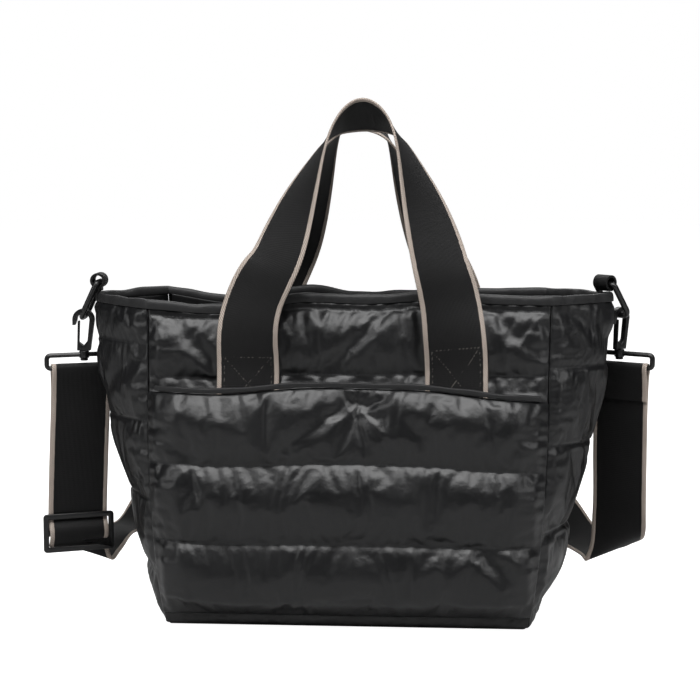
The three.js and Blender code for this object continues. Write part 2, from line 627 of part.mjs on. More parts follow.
// One handle, from its left sewn end over the top to its right one. The webbing's width points from its inner
// edge to its outer one.
function handleGeometry({ side, middle, lean, height, narrowing, dipping }) {
  const face = side - 1;
  const steps = 24;
  const place = (sign, rise, column) => {
    const foot = middle + sign * (HANDLE_HALF_GAP + WEBBING_WIDTH / 2);
    const level = BODY_HEIGHT + rise * height;
    const reach = wallReach(side, foot, Math.min(level, BODY_HEIGHT)) + GAP + HANDLE_THICKNESS / 2;
    const [turn, dip] = [degToRad(column("turn")), degToRad(column("dip") * dipping)];
    const half = HANDLE_HALF_GAP * column("half") * (1 - narrowing * smoothstep(rise, HANDLE_LEG[0].rise, 0.7));
    return {
      edge: new THREE.Vector3(
        middle + lean * column("lean") + sign * half,
        face * (reach + column("out") * WEBBING_WIDTH),
        level,
      ),
      wide: new THREE.Vector3(
        sign * Math.cos(turn) * Math.cos(dip),
        -face * Math.sin(turn) * Math.cos(dip),
        -Math.sin(dip),
      ),
      square: column("square"),
    };
  };
  const foot = (HANDLE_FOOT - BODY_HEIGHT) / height;
  const sewn = (sign, t) => place(sign, lerp(foot, HANDLE_LEG[0].rise, t), (name) => HANDLE_LEG[0][name]);
  const free = (sign, t) => {
    const column = (name) => fromTable(HANDLE_LEG, "way", t, name);
    return place(sign, column("rise"), column);
  };
  const leg = (sign) => [
    ...[0, 0.3, 0.6].map((t) => sewn(sign, t)),
    ...Array.from({ length: steps + 1 }, (_, k) => free(sign, k / steps)),
  ];
  const places = [...leg(-1), ...leg(1).reverse().slice(1)];
  const stations = places.map(({ edge, wide, square }, i) => {
    const across = squared(wide, alongAt(places.map((place) => place.edge), i), square);
    return { at: edge.clone().addScaledVector(across, WEBBING_WIDTH / 2), across };
  });
  return webbingGeometry(stations, WEBBING_WIDTH, HANDLE_THICKNESS);
}

// Where one side's hardware hangs, worked out downwards from its tab.
function sidePlaces(name) {
  const { sign, tabOut, tabBack, tabRise, turn, loopTurn, loopShift, drop: barDrop } = SIDES[name];
  const bar = BODY_HEIGHT - barDrop;
  const out = direction(turn).multiplyScalar(sign);
  const axis = UP.clone().cross(out);
  const across = 0.5 + tabBack / (2 * MOUTH_HALF_DEPTH);
  const edge = bodyPoint(sign > 0 ? 1 + across : 4 - across, TOP_SHARE);
  const tab = new THREE.Vector3(edge.x + sign * tabOut, edge.y, BODY_HEIGHT + tabRise);
  const ringTop = tab.clone().addScaledVector(UP, -(TAB_OUTER_RADIUS - TAB_THICKNESS - RING_WIRE - GAP));
  const hookFoot = bar + BOSS_HALF_HEIGHT + GAP;
  const ringLow = hookFoot + HOOK_HEIGHT - HOOK_TOP_RADIUS + HOOK_EYE_RADIUS - RING_WIRE - GAP;
  const drop = ringTop.z - ringLow;
  const swing = Math.sqrt(Math.max(RING_HEIGHT ** 2 - drop ** 2, 0));
  const hang = out.clone().multiplyScalar(swing).addScaledVector(UP, -drop).divideScalar(RING_HEIGHT);
  const hook = ringTop.clone().addScaledVector(hang, RING_HEIGHT).setZ(bar);
  const wide = direction(loopTurn);
  const loop = hook.clone().addScaledVector(wide, loopShift);
  return { sign, axis, tab, seat: edge.z + GAP + BINDING_HEIGHT, ringTop, hang, hook, wide, loop, turn };
}

// A short webbing loop that stands on the binding at a gusset's fold.
function tabGeometry(name) {
  const { tab, seat, turn } = sidePlaces(name);
  const half = TAB_THICKNESS;
  const start = Math.atan2(-Math.sqrt(TAB_OUTER_RADIUS ** 2 - half ** 2), half);
  const outline = new THREE.Shape();
  outline.moveTo(-half, seat + GAP - tab.z);
  outline.lineTo(half, seat + GAP - tab.z);
  outline.absarc(0, 0, TAB_OUTER_RADIUS, start, Math.PI - start, false);
  outline.closePath();
  const hole = new THREE.Path().absarc(0, 0, TAB_OUTER_RADIUS - TAB_THICKNESS, 0, 2 * Math.PI, true);
  outline.holes.push(hole);
  return new THREE.ExtrudeGeometry(outline, { depth: TAB_WIDTH, bevelEnabled: false, curveSegments: 14 })
    .rotateX(Math.PI / 2)
    .translate(0, TAB_WIDTH / 2, 0)
    .rotateZ(degToRad(turn))
    .translate(...tab.toArray());
}

function ringGeometry(name) {
  const { axis, ringTop, hang } = sidePlaces(name);
  const centre = ringTop.clone().addScaledVector(hang, RING_HEIGHT / 2);
  const high = hang.clone().negate();
  const width = TAB_WIDTH + 2 * (RING_WIRE + GAP) + 0.4;
  const path = roundedPath(centre, axis, high, width, RING_HEIGHT, RING_BEND, RING_CORNER);
  return wireGeometry(path, axis.clone().cross(high).normalize(), RING_WIRE, 6);
}

// The moulded hook: a flat eye whose left side is a springy gate, over a stud with a head.
function hookGeometry(name) {
  const { hook, turn } = sidePlaces(name);
  const [foot, top, eye] = [HOOK_HALF_FOOT, HOOK_TOP_RADIUS, HOOK_EYE_RADIUS];
  const arcHeight = HOOK_HEIGHT - top;
  const outline = new THREE.Shape();
  outline.moveTo(-foot, 0);
  outline.lineTo(foot, 0);
  outline.lineTo(top, arcHeight);
  outline.absarc(0, arcHeight, top, 0, Math.PI, false);
  outline.lineTo(-top, arcHeight - top / 2);
  outline.lineTo(-top * 0.76, arcHeight - top / 2);
  outline.lineTo(-eye, arcHeight);
  outline.absarc(0, arcHeight, eye, Math.PI, 0, true);
  outline.lineTo(foot * 0.6, foot * 1.5);
  outline.lineTo(0, foot * 0.75);
  outline.lineTo(-foot * 0.72, foot * 1.3);
  outline.lineTo(-eye * 0.62, arcHeight - 1);
  outline.lineTo(-eye * 0.62 - HOOK_GATE, arcHeight - 1);
  outline.lineTo(-foot * 0.72 - HOOK_GATE, foot * 1.2);
  outline.closePath();
  const plate = new THREE.ExtrudeGeometry(outline, { depth: HOOK_THICKNESS, bevelEnabled: false, curveSegments: 10 })
    .rotateX(Math.PI / 2)
    .translate(0, HOOK_THICKNESS / 2, BOSS_HALF_HEIGHT + GAP);
  const headTop = -BOSS_HALF_HEIGHT - GAP;
  const stud = upright(STUD_RADIUS, headTop - STUD_HEAD / 2, BOSS_HALF_HEIGHT + 1, 10);
  const head = upright(STUD_HEAD_RADIUS, headTop - STUD_HEAD, headTop, 12);
  const solid = solidOf(plate).add(solidOf(stud)).add(solidOf(head));
  return geometryOf(solid).rotateZ(degToRad(turn)).translate(...hook.toArray());
}

// The wire loop under a hook, with the drilled boss that the hook's stud turns in.
function strapLoopGeometry(name) {
  const { hook, wide, loop } = sidePlaces(name);
  const width = WEBBING_WIDTH + 1 + 2 * LOOP_CORNER;
  const centre = loop.clone().addScaledVector(UP, -LOOP_SPACING / 2);
  const path = roundedPath(centre, wide, UP, width, LOOP_SPACING, LOOP_CORNER, LOOP_CORNER);
  const wire = wireGeometry(path, wide.clone().cross(UP), LOOP_WIRE, 6);
  const place = (geometry) => solidOf(geometry.translate(...hook.toArray()));
  const boss = place(upright(BOSS_RADIUS, -BOSS_HALF_HEIGHT, BOSS_HALF_HEIGHT, 12));
  const bore = place(upright(STUD_RADIUS + GAP, -2 * BOSS_HALF_HEIGHT, 2 * BOSS_HALF_HEIGHT, 10));
  return geometryOf(solidOf(wire).add(boss).subtract(bore));
}

const SLIDER_DEPTH = -1.2; // the slider's middle plane stands this far in front of the strap loop's
const SLIDER_REACH = SLIDER_THICKNESS / 2 + GAP + STRAP_THICKNESS / 2;

// The three-bar slider on the left fall.
function sliderGeometry() {
  const { loop, wide } = sidePlaces("left");
  const width = WEBBING_WIDTH + 1.2 + 2 * SLIDER_BAR;
  const [w, h] = [width / 2, SLIDER_HEIGHT / 2];
  const outline = new THREE.Shape();
  const corner = 3;
  outline.moveTo(-w + corner, -h);
  outline.absarc(w - corner, -h + corner, corner, -Math.PI / 2, 0, false);
  outline.absarc(w - corner, h - corner, corner, 0, Math.PI / 2, false);
  outline.absarc(-w + corner, h - corner, corner, Math.PI / 2, Math.PI, false);
  outline.absarc(-w + corner, -h + corner, corner, Math.PI, 1.5 * Math.PI, false);
  [-1, 1].forEach((sign) => {
    const window = new THREE.Path();
    const [near, far] = [(sign * SLIDER_BAR) / 2, sign * (h - SLIDER_BAR)];
    const half = w - SLIDER_BAR;
    window.moveTo(-half, near).lineTo(-half, far).lineTo(half, far).lineTo(half, near).closePath();
    outline.holes.push(window);
  });
  const depth = UP.clone().cross(wide);
  const place = loop.clone().addScaledVector(wide, -SLIDER_OUT).addScaledVector(depth, SLIDER_DEPTH);
  return new THREE.ExtrudeGeometry(outline, { depth: SLIDER_THICKNESS, bevelEnabled: false, curveSegments: 3 })
    .rotateX(Math.PI / 2)
    .translate(0, SLIDER_THICKNESS / 2, 0)
    .rotateZ(Math.atan2(wide.y, wide.x))
    .translate(place.x, place.y, SLIDER_MIDDLE);
}

// The shoulder strap's stations. Its sewn end lies behind the slider's middle bar; from there it climbs to
// the left loop, comes down in front through the slider, goes round behind the bag and up to the right loop.
function strapStations() {
  const [left, right] = [sidePlaces("left"), sidePlaces("right")];
  const bend = LOOP_WIRE + GAP + STRAP_THICKNESS / 2;
  const placed = ({ loop, wide, sign }) => ([height, depth, out = 0]) => ({
    at: loop.clone().setZ(height).addScaledVector(wide, sign * out).addScaledVector(UP.clone().cross(wide), depth),
    across: wide.clone().multiplyScalar(-sign),
  });
  const over = (bar) => [0, 45, 90, 135, 180].map((angle) => {
    const [rise, depth] = [Math.sin(degToRad(angle)), Math.cos(degToRad(angle))];
    return [bar - LOOP_SPACING + bend * rise, bend * depth];
  });
  const behind = SLIDER_DEPTH + SLIDER_REACH;
  const before = SLIDER_DEPTH - SLIDER_REACH;
  const layer = STRAP_THICKNESS + GAP;
  const inside = SLIDER_BAR / 2 + 0.6;
  const outside = SLIDER_HEIGHT / 2 - SLIDER_BAR - 0.4;
  const clear = SLIDER_HEIGHT / 2 + 1;
  const [s, l, r] = [SLIDER_MIDDLE, left.loop.z - LOOP_SPACING, right.loop.z - LOOP_SPACING];
  const leftRows = [
    [s - inside, behind, SLIDER_OUT],
    [s + inside, behind, SLIDER_OUT],
    [s + outside - 0.5, behind + layer, SLIDER_OUT],
    [s + clear, behind + layer, SLIDER_OUT],
    [lerp(s, l, 0.5), behind + layer, SLIDER_OUT / 2],
    [l - 2 * LOOP_SPACING, layer + 0.8],
    ...over(left.loop.z),
    [l - 2 * LOOP_SPACING, -0.6],
    [lerp(s, l, 0.5), behind - 0.6, SLIDER_OUT / 2],
    [s + clear, behind, SLIDER_OUT],
    [s + outside, behind, SLIDER_OUT],
    [s + inside, before, SLIDER_OUT],
    [s - inside, before, SLIDER_OUT],
    [s - outside, behind, SLIDER_OUT],
    [s - clear, behind, SLIDER_OUT],
  ];
  const rightRows = [
    [s + clear, 0.6],
    [lerp(s, r, 0.5), 0],
    [r - STRAP_TAIL, 0.4],
    [r - STRAP_TAIL / 3, 1.8],
    ...over(right.loop.z),
    [r - STRAP_TAIL / 3, -layer - 0.6],
    [r - STRAP_TAIL, 0.4 - layer],
  ];
  const turned = (rows, sign) => rows.map(({ out, back, up, yaw, fall }) => ({
    at: new THREE.Vector3(sign * out * GUSSET_REACH, back * BASE_HALF_DEPTH, up * BODY_HEIGHT),
    across: new THREE.Vector3(
      -sign * Math.cos(degToRad(fall)) * Math.cos(degToRad(yaw)),
      Math.cos(degToRad(fall)) * Math.sin(degToRad(yaw)),
      -Math.sin(degToRad(fall)),
    ),
  }));
  return [
    ...leftRows.map(placed(left)),
    ...turned([...STRAP_TURN.left, ...STRAP_BACK], -1),
    ...turned([...STRAP_TURN.right, ...STRAP_BACK], 1).reverse(),
    ...rightRows.map(placed(right)),
  ];
}

// Stations set closer together along smooth curves through the given ones, where those lie far apart.
function softened(stations, longest) {
  const curve = (pick) => new THREE.CatmullRomCurve3(stations.map(pick), false, "centripetal");
  const [path, widths] = [curve((s) => s.at), curve((s) => s.across)];
  return stations.flatMap((station, i) => {
    if (i === stations.length - 1) return [{ ...station, across: station.across.clone().normalize() }];
    const parts = Math.ceil(station.at.distanceTo(stations[i + 1].at) / longest);
    return Array.from({ length: parts }, (_, k) => {
      const t = (i + k / parts) / (stations.length - 1);
      return { at: path.getPoint(t), across: squared(widths.getPoint(t), path.getTangent(t), 1) };
    });
  });
}

const nylon = () => new THREE.MeshStandardMaterial({ color: 0x17181a, roughness: 0.38, metalness: 0 });
const tape = () => new THREE.MeshStandardMaterial({ color: 0x1b1c1e, roughness: 0.8, metalness: 0 });
const webbing = () => new THREE.MeshStandardMaterial({ color: 0x202123, roughness: 0.75, metalness: 0 });
const plastic = () => new THREE.MeshStandardMaterial({ color: 0x222325, roughness: 0.45, metalness: 0 });

const bag = new THREE.Group();

function addPiece(group, name, geometry, material) {
  const mesh = new THREE.Mesh(geometry, material);
  mesh.name = name;
  group.add(mesh);
}

const body = new THREE.Group();
addPiece(body, "front_panel", wallGeometry(0, PANEL_WIDTH, PANEL_CHANNELS, FOLDS.front, FINE_ROWS), nylon());
addPiece(body, "right_gusset", wallGeometry(1, GUSSET_WIDTH, GUSSET_CHANNELS.right, FOLDS.right, FEW_ROWS), nylon());
addPiece(body, "back_panel", wallGeometry(2, PANEL_WIDTH, BACK_CHANNELS, FOLDS.back, FEW_ROWS), nylon());
addPiece(body, "left_gusset", wallGeometry(3, GUSSET_WIDTH, GUSSET_CHANNELS.left, FOLDS.left, FEW_ROWS), nylon());
addPiece(body, "base_panel", baseGeometry(), nylon());
addPiece(body, "mouth_binding", mouthBindingGeometry(), tape());
addPiece(body, "front_facing", facingGeometry(0), tape());
addPiece(body, "back_facing", facingGeometry(2), tape());

const pocket = new THREE.Group();
addPiece(pocket, "front_pocket", pocketGeometry(), nylon());
addPiece(pocket, "pocket_binding", pocketBindingGeometry(), tape());
addPiece(pocket, "pocket_snap", snapGeometry(), plastic());

const handles = new THREE.Group();
Object.keys(HANDLES).forEach((name) => {
  addPiece(handles, `${name}_handle`, handleGeometry(HANDLES[name]), webbing());
});

const strap = new THREE.Group();
Object.keys(SIDES).forEach((name) => {
  addPiece(strap, `${name}_tab`, tabGeometry(name), webbing());
  addPiece(strap, `${name}_ring`, ringGeometry(name), plastic());
  addPiece(strap, `${name}_snap_hook`, hookGeometry(name), plastic());
  addPiece(strap, `${name}_strap_loop`, strapLoopGeometry(name), plastic());
});
addPiece(strap, "strap_slider", sliderGeometry(), plastic());
const shoulderStrap = webbingGeometry(softened(strapStations(), 16), WEBBING_WIDTH, STRAP_THICKNESS);
addPiece(strap, "shoulder_strap", shoulderStrap, webbing());

bag.add(body, pocket, handles, strap);

export default bag;
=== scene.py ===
"""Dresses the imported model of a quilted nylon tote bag: padded walls, bound edges, webbing and hardware.

Lengths in the tables and fields are millimetres, and meshes are made in metres. The pocket faces -Y.
"""

import logging
import math
from contextlib import contextmanager
from dataclasses import dataclass, field
from enum import Enum
from typing import Iterator, Optional, Sequence

import bpy
import numpy as np
from mathutils import Matrix, Vector


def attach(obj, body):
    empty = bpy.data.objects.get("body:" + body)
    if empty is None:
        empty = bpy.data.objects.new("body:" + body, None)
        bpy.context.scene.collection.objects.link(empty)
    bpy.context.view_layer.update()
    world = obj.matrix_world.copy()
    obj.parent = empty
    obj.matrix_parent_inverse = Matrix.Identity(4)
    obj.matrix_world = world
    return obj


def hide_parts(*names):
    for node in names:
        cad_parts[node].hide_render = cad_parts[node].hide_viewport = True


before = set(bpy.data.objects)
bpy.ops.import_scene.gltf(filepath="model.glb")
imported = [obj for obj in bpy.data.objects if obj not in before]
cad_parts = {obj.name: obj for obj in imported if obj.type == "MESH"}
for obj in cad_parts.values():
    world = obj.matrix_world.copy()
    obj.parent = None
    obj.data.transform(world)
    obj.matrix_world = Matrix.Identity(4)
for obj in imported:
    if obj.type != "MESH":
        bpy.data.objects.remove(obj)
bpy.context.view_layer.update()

log = logging.getLogger("tote_bag")
MM = 0.001
GAP = 0.35  # mm between two pieces
NO_STITCH = 99.0  # a distance from a seam at which no stitch shows
Row = dict[str, float]
Array = np.ndarray
Point = tuple[float, float, float]
Pair = tuple[Point, Point]
Colour = tuple[float, float, float]
Face = tuple[int, ...]
Piece = bpy.types.Object
Material = bpy.types.Material
Socket = bpy.types.NodeSocket


# ---------------------------------------------------------------- shared geometry


def from_table(rows: Sequence[Row], key: str, at: Array, column: str) -> Array:
    """Values between the rows of a table, smoothly, by one column.

    Args:
        rows: the table's rows, in rising order of the key column.
        key: the column that the places are given in.
        at: the places.
        column: the column that is read.

    Returns:
        One value for each place.
    """
    keys = np.array([row[key] for row in rows], float)
    values = np.array([row[column] for row in rows], float)
    at = np.asarray(at, float)
    last = len(rows) - 1
    i = np.clip(np.searchsorted(keys, at, side="left") - 1, 0, last - 1)
    before, after = np.maximum(i - 1, 0), np.minimum(i + 2, last)
    span = keys[i + 1] - keys[i]
    t = np.clip((at - keys[i]) / span, 0, 1)
    rise_a = (values[i + 1] - values[before]) / (keys[i + 1] - keys[before]) * span
    rise_b = (values[after] - values[i]) / (keys[after] - keys[i]) * span
    t2, t3 = t * t, t * t * t
    ends = (2 * t3 - 3 * t2 + 1) * values[i] + (3 * t2 - 2 * t3) * values[i + 1]
    return ends + (t3 - 2 * t2 + t) * rise_a + (t3 - t2) * rise_b


def rows_of(columns: str, *rows: Sequence[float]) -> list[Row]:
    """A table from its column names, split by spaces, and its rows of numbers."""
    names = columns.split()
    return [dict(zip(names, row)) for row in rows]


def smoothstep(x: Array, low: float, high: float) -> Array:
    """A smooth rise from 0 at low to 1 at high."""
    t = np.clip((np.asarray(x, float) - low) / (high - low), 0, 1)
    return t * t * (3 - 2 * t)


def lerp(a: Array, b: Array, t: Array) -> Array:
    """A value between a and b."""
    return a + (b - a) * t


def unit(v: Array) -> Array:
    """Vectors of length 1."""
    return v / np.maximum(np.linalg.norm(v, axis=-1, keepdims=True), 1e-9)


def waves(x: Array, seed: int, shortest: float, longest: float, count: int = 7) -> Array:
    """Irregular smooth waves along a line, between about -1 and 1.

    Args:
        x: places along the line, in mm.
        seed: picks the pattern.
        shortest: the shortest wavelength, in mm.
        longest: the longest wavelength, in mm.
        count: how many waves are added up.

    Returns:
        The height at each place.
    """
    rng = np.random.default_rng(seed)
    lengths = rng.uniform(shortest, longest, count)
    phases = rng.uniform(0, 2 * math.pi, count)
    total = sum(np.sin(2 * math.pi * x / l + p) for l, p in zip(lengths, phases))
    return total / math.sqrt(count)


def new_mesh_object(name: str, points: Array, faces: list[Face]) -> Piece:
    """A mesh object at the origin.

    Args:
        name: the piece's name.
        points: its corners, in millimetres.
        faces: corner indices of each face, turning left as seen from outside.

    Returns:
        The linked object.
    """
    mesh = bpy.data.meshes.new(name)
    mesh.from_pydata((np.asarray(points, float) * MM).tolist(), [], faces)
    mesh.update()
    obj = bpy.data.objects.new(name, mesh)
    bpy.context.scene.collection.objects.link(obj)
    return obj


def select_only(obj: Piece) -> None:
    """Make one object the only selected and active one.

    Args:
        obj: the object.
    """
    bpy.ops.object.select_all(action="DESELECT")
    obj.select_set(True)
    bpy.context.view_layer.objects.active = obj


@contextmanager
def editing(obj: Piece) -> Iterator[None]:
    """Edit mode on one object, with all of its mesh selected.

    Args:
        obj: the object.
    """
    select_only(obj)
    bpy.ops.object.mode_set(mode="EDIT")
    bpy.ops.mesh.select_all(action="SELECT")
    yield
    bpy.ops.object.mode_set(mode="OBJECT")


def apply_modifiers(obj: Piece) -> None:
    """Apply all of an object's modifiers in order.

    Args:
        obj: the object.
    """
    select_only(obj)
    for modifier in list(obj.modifiers):
        bpy.ops.object.modifier_apply(modifier=modifier.name)


def smooth(obj: Piece, angle: float = 180.0) -> None:
    """Shade an object smooth across edges up to an angle in degrees.

    Args:
        obj: the object.
        angle: the sharpest angle that is smoothed, in degrees.
    """
    select_only(obj)
    if angle >= 180:
        bpy.ops.object.shade_smooth()
    else:
        bpy.ops.object.shade_smooth_by_angle(angle=math.radians(angle))


def subdivide(obj: Piece) -> None:
    """Round a mesh by one applied subdivision.

    Args:
        obj: the object.
    """
    modifier = obj.modifiers.new("round", "SUBSURF")
    modifier.levels = modifier.render_levels = 1
    apply_modifiers(obj)


def bevel(obj: Piece, width: float, segments: int, angle: float = 30.0) -> None:
    """Round a mesh's edges by an applied bevel.

    Args:
        obj: the object.
        width: the bevel's width in mm.
        segments: how many faces the bevel has.
        angle: the angle in degrees above which an edge is bevelled.
    """
    modifier = obj.modifiers.new("bevel", "BEVEL")
    modifier.width, modifier.segments, modifier.limit_method = width * MM, segments, "ANGLE"
    modifier.angle_limit = math.radians(angle)
    apply_modifiers(obj)


def corners_of(obj: Piece) -> Array:
    """The places of an object's corners.

    Args:
        obj: the object.

    Returns:
        One row for each corner, in metres.
    """
    flat = np.empty(len(obj.data.vertices) * 3, np.float32)
    obj.data.vertices.foreach_get("co", flat)
    return flat.reshape(-1, 3)


def write_attribute(obj: Piece, name: str, values: Array) -> None:
    """Store one number for each vertex, for a material to read."""
    layer = obj.data.attributes.new(name, "FLOAT", "POINT")
    layer.data.foreach_set("value", np.asarray(values, np.float32))


def write_uv(obj: Piece, uv: Array) -> None:
    """Store a UV map from one pair for each vertex.

    Args:
        obj: the object.
        uv: the pairs, in metres of cloth.
    """
    layer = obj.data.uv_layers.new(name="cloth")
    corner = np.empty(len(obj.data.loops), np.int32)
    obj.data.loops.foreach_get("vertex_index", corner)
    layer.data.foreach_set("uv", np.asarray(uv, np.float32)[corner].ravel())


def dress(obj: Piece, material: Material, slot: str, *nodes: str) -> None:
    """Give a piece its finish, and let it ride and stand for its CAD nodes.

    Args:
        obj: the piece.
        material: its finish.
        slot: the finish's slot, which is not used.
        nodes: the CAD nodes that the piece stands for.
    """
    obj.data.materials.clear()
    obj.data.materials.append(material)
    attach(obj, "root")
    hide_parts(*nodes)
    log.info("%s: %d faces", obj.name, len(obj.data.polygons))


# ---------------------------------------------------------------- the bag's plain form


@dataclass(frozen=True)
class Channel:
    """One quilted channel: the seam that closes it, as a share, and how far it puffs out."""

    top: float
    puff: float


@dataclass(frozen=True)
class Fold:
    """A groove from one place to another, in shares of a wall's width and of the body's height."""

    start: tuple[float, float]
    end: tuple[float, float]
    depth: float
    spread: float


class Side(Enum):
    """The four walls, in the order in which a turn round the bag meets them."""

    FRONT = 0
    RIGHT = 1
    BACK = 2
    LEFT = 3


@dataclass(frozen=True)
class BagForm:
    """The bag's plain outer surface without padding."""

    height: float = 266
    panel_half_width: float = 163
    gusset_reach: float = 214
    base_half_depth: float = 75
    mouth_half_depth: float = 50
    panel_bow: float = 6
    binding_height: float = 6.2
    fold_sharpness: float = 1.3
    level_from: float = 0.86
    sections: list[Row] = field(
        default_factory=lambda: rows_of(
            "height seam fold depth forward",
            (0, 0.895, 0.715, 1, 0),
            (0.15, 0.935, 0.8, 0.99, 0.06),
            (0.34, 0.965, 0.845, 0.93, 0.16),
            (0.6, 0.985, 0.93, 0.66, 0.28),
            (0.78, 0.99, 0.975, 0.38, 0.26),
            (1, 1, 1, 0, 0),
        )
    )
    front_rim: list[Row] = field(
        default_factory=lambda: rows_of(
            "across lift",
            (0, -3.5), (0.19, -7), (0.38, 3), (0.55, 2), (0.7, 5), (0.86, 2.5), (1, 1.5),
        )
    )
    back_rim: list[Row] = field(
        default_factory=lambda: rows_of(
            "across lift", (0, 0.5), (0.3, -1.5), (0.5, -4), (0.63, 2), (0.82, -8), (1, 0.5)
        )
    )

    @property
    def top_share(self) -> float:
        """The share of the height at which the walls end under the binding."""
        return 1 - (self.binding_height + GAP) / self.height

    def column(self, name: str, share: Array) -> Array:
        """One column of the sections at shares of the height."""
        return from_table(self.sections, "height", share, name)

    def lift(self, rim: list[Row], across: Array) -> Array:
        """How far a rim rises above the plain height at shares across its panel."""
        return from_table(rim, "across", across, "lift")

    def point(self, turn: Array, share: Array) -> Array:
        """Points on the surface.

        Args:
            turn: 0 to 4, once round the bag from the front's left seam.
            share: the share of the height.

        Returns:
            The points, in mm.
        """
        turn, share = np.broadcast_arrays(np.asarray(turn, float), np.asarray(share, float))
        wrapped = np.mod(turn, len(Side))
        side = np.floor(wrapped).astype(int)
        t = wrapped - side
        seam = self.panel_half_width * self.column("seam", share)
        fold = self.gusset_reach * self.column("fold", share)
        depth = lerp(self.mouth_half_depth, self.base_half_depth, self.column("depth", share))
        bow = self.panel_bow * np.sin(np.pi * t) * np.sin(np.pi * np.clip(share, 0, 1))
        vee = 1 - np.abs(2 * t - 1) ** self.fold_sharpness
        left, right = lerp(-seam, -fold, vee), lerp(seam, fold, vee)
        front, back = self.front_rim, self.back_rim
        right_lift = lerp(self.lift(front, 1), self.lift(back, 0), t)
        left_lift = lerp(self.lift(back, 1), self.lift(front, 0), t)
        on = [side == wall.value for wall in Side]
        x = np.select(on, [lerp(-seam, seam, t), right, lerp(seam, -seam, t), left])
        y = np.select(on, [-depth - bow, lerp(-depth, depth, t), depth + bow, lerp(depth, -depth, t)])
        lift = np.select(on, [self.lift(front, t), right_lift, self.lift(back, t), left_lift])
        forward = np.where(side % 2 == 1, depth * vee * self.column("forward", share), 0)
        return np.stack([x, y - forward, share * self.height + lift * share**3], -1)

    def normal(self, turn: Array, share: Array) -> Array:
        """The surface's outward direction, level at the mouth's edge.

        Args:
            turn: 0 to 4, once round the bag from the front's left seam.
            share: the share of the height.

        Returns:
            The directions, each of length 1.
        """
        step = 0.012
        along = self.point(turn + step, share) - self.point(turn - step, share)
        up = self.point(turn, share + step) - self.point(turn, share - step)
        normal = unit(np.cross(along, up))
        normal[..., 2] *= 1 - smoothstep(share, self.level_from, self.top_share)
        return unit(normal)


FORM = BagForm()
SWELL_SKEW = 1.2  # above 1, a channel is fullest nearer to its upper seam
SWELL_FLATNESS = 0.55  # below 1, a channel is rounder than a plain arch


def fullness(t: Array) -> Array:
    """How full a channel is at a share of its height: it swells most just under its upper seam."""
    return np.sin(np.pi * np.clip(t, 0, 1) ** SWELL_SKEW) ** SWELL_FLATNESS


def channel_puff(channels: Sequence[Channel], share: Array) -> Array:
    """How far the channels puff out at a share of the height.

    Args:
        channels: the channels, from the lowest up.
        share: the shares of the height.

    Returns:
        The distances in mm.
    """
    puff, low = np.zeros_like(share), 0.0
    for channel in channels:
        inside = (share > low) & (share <= channel.top)
        puff = np.where(inside, channel.puff * fullness((share - low) / (channel.top - low)), puff)
        low = channel.top
    return puff


def fold_depth(folds: Sequence[Fold], across: Array, share: Array, width: float) -> Array:
    """The depth of a wall's folds at places on it.

    Args:
        folds: the wall's folds.
        across: shares of the wall's width.
        share: shares of the body's height.
        width: the wall's width in mm.

    Returns:
        The depths in mm.
    """
    place = np.stack([across * width, share * FORM.height], -1)
    total = np.zeros(across.shape)
    for fold in folds:
        a = np.array([fold.start[0] * width, fold.start[1] * FORM.height])
        b = np.array([fold.end[0] * width, fold.end[1] * FORM.height])
        run = b - a
        t = np.clip((place - a) @ run / (run @ run), 0, 1)
        away = np.linalg.norm(place - (a + t[..., None] * run), axis=-1)
        total += fold.depth * np.exp(-((away / fold.spread) ** 2))
    return total


def edge_taper(across: Array, width: float, pinch: float) -> Array:
    """0 at a wall's side seams, 1 a pinch's length away from them."""
    return smoothstep(np.minimum(across, 1 - across) * width, 0, pinch)


# ---------------------------------------------------------------- finishes


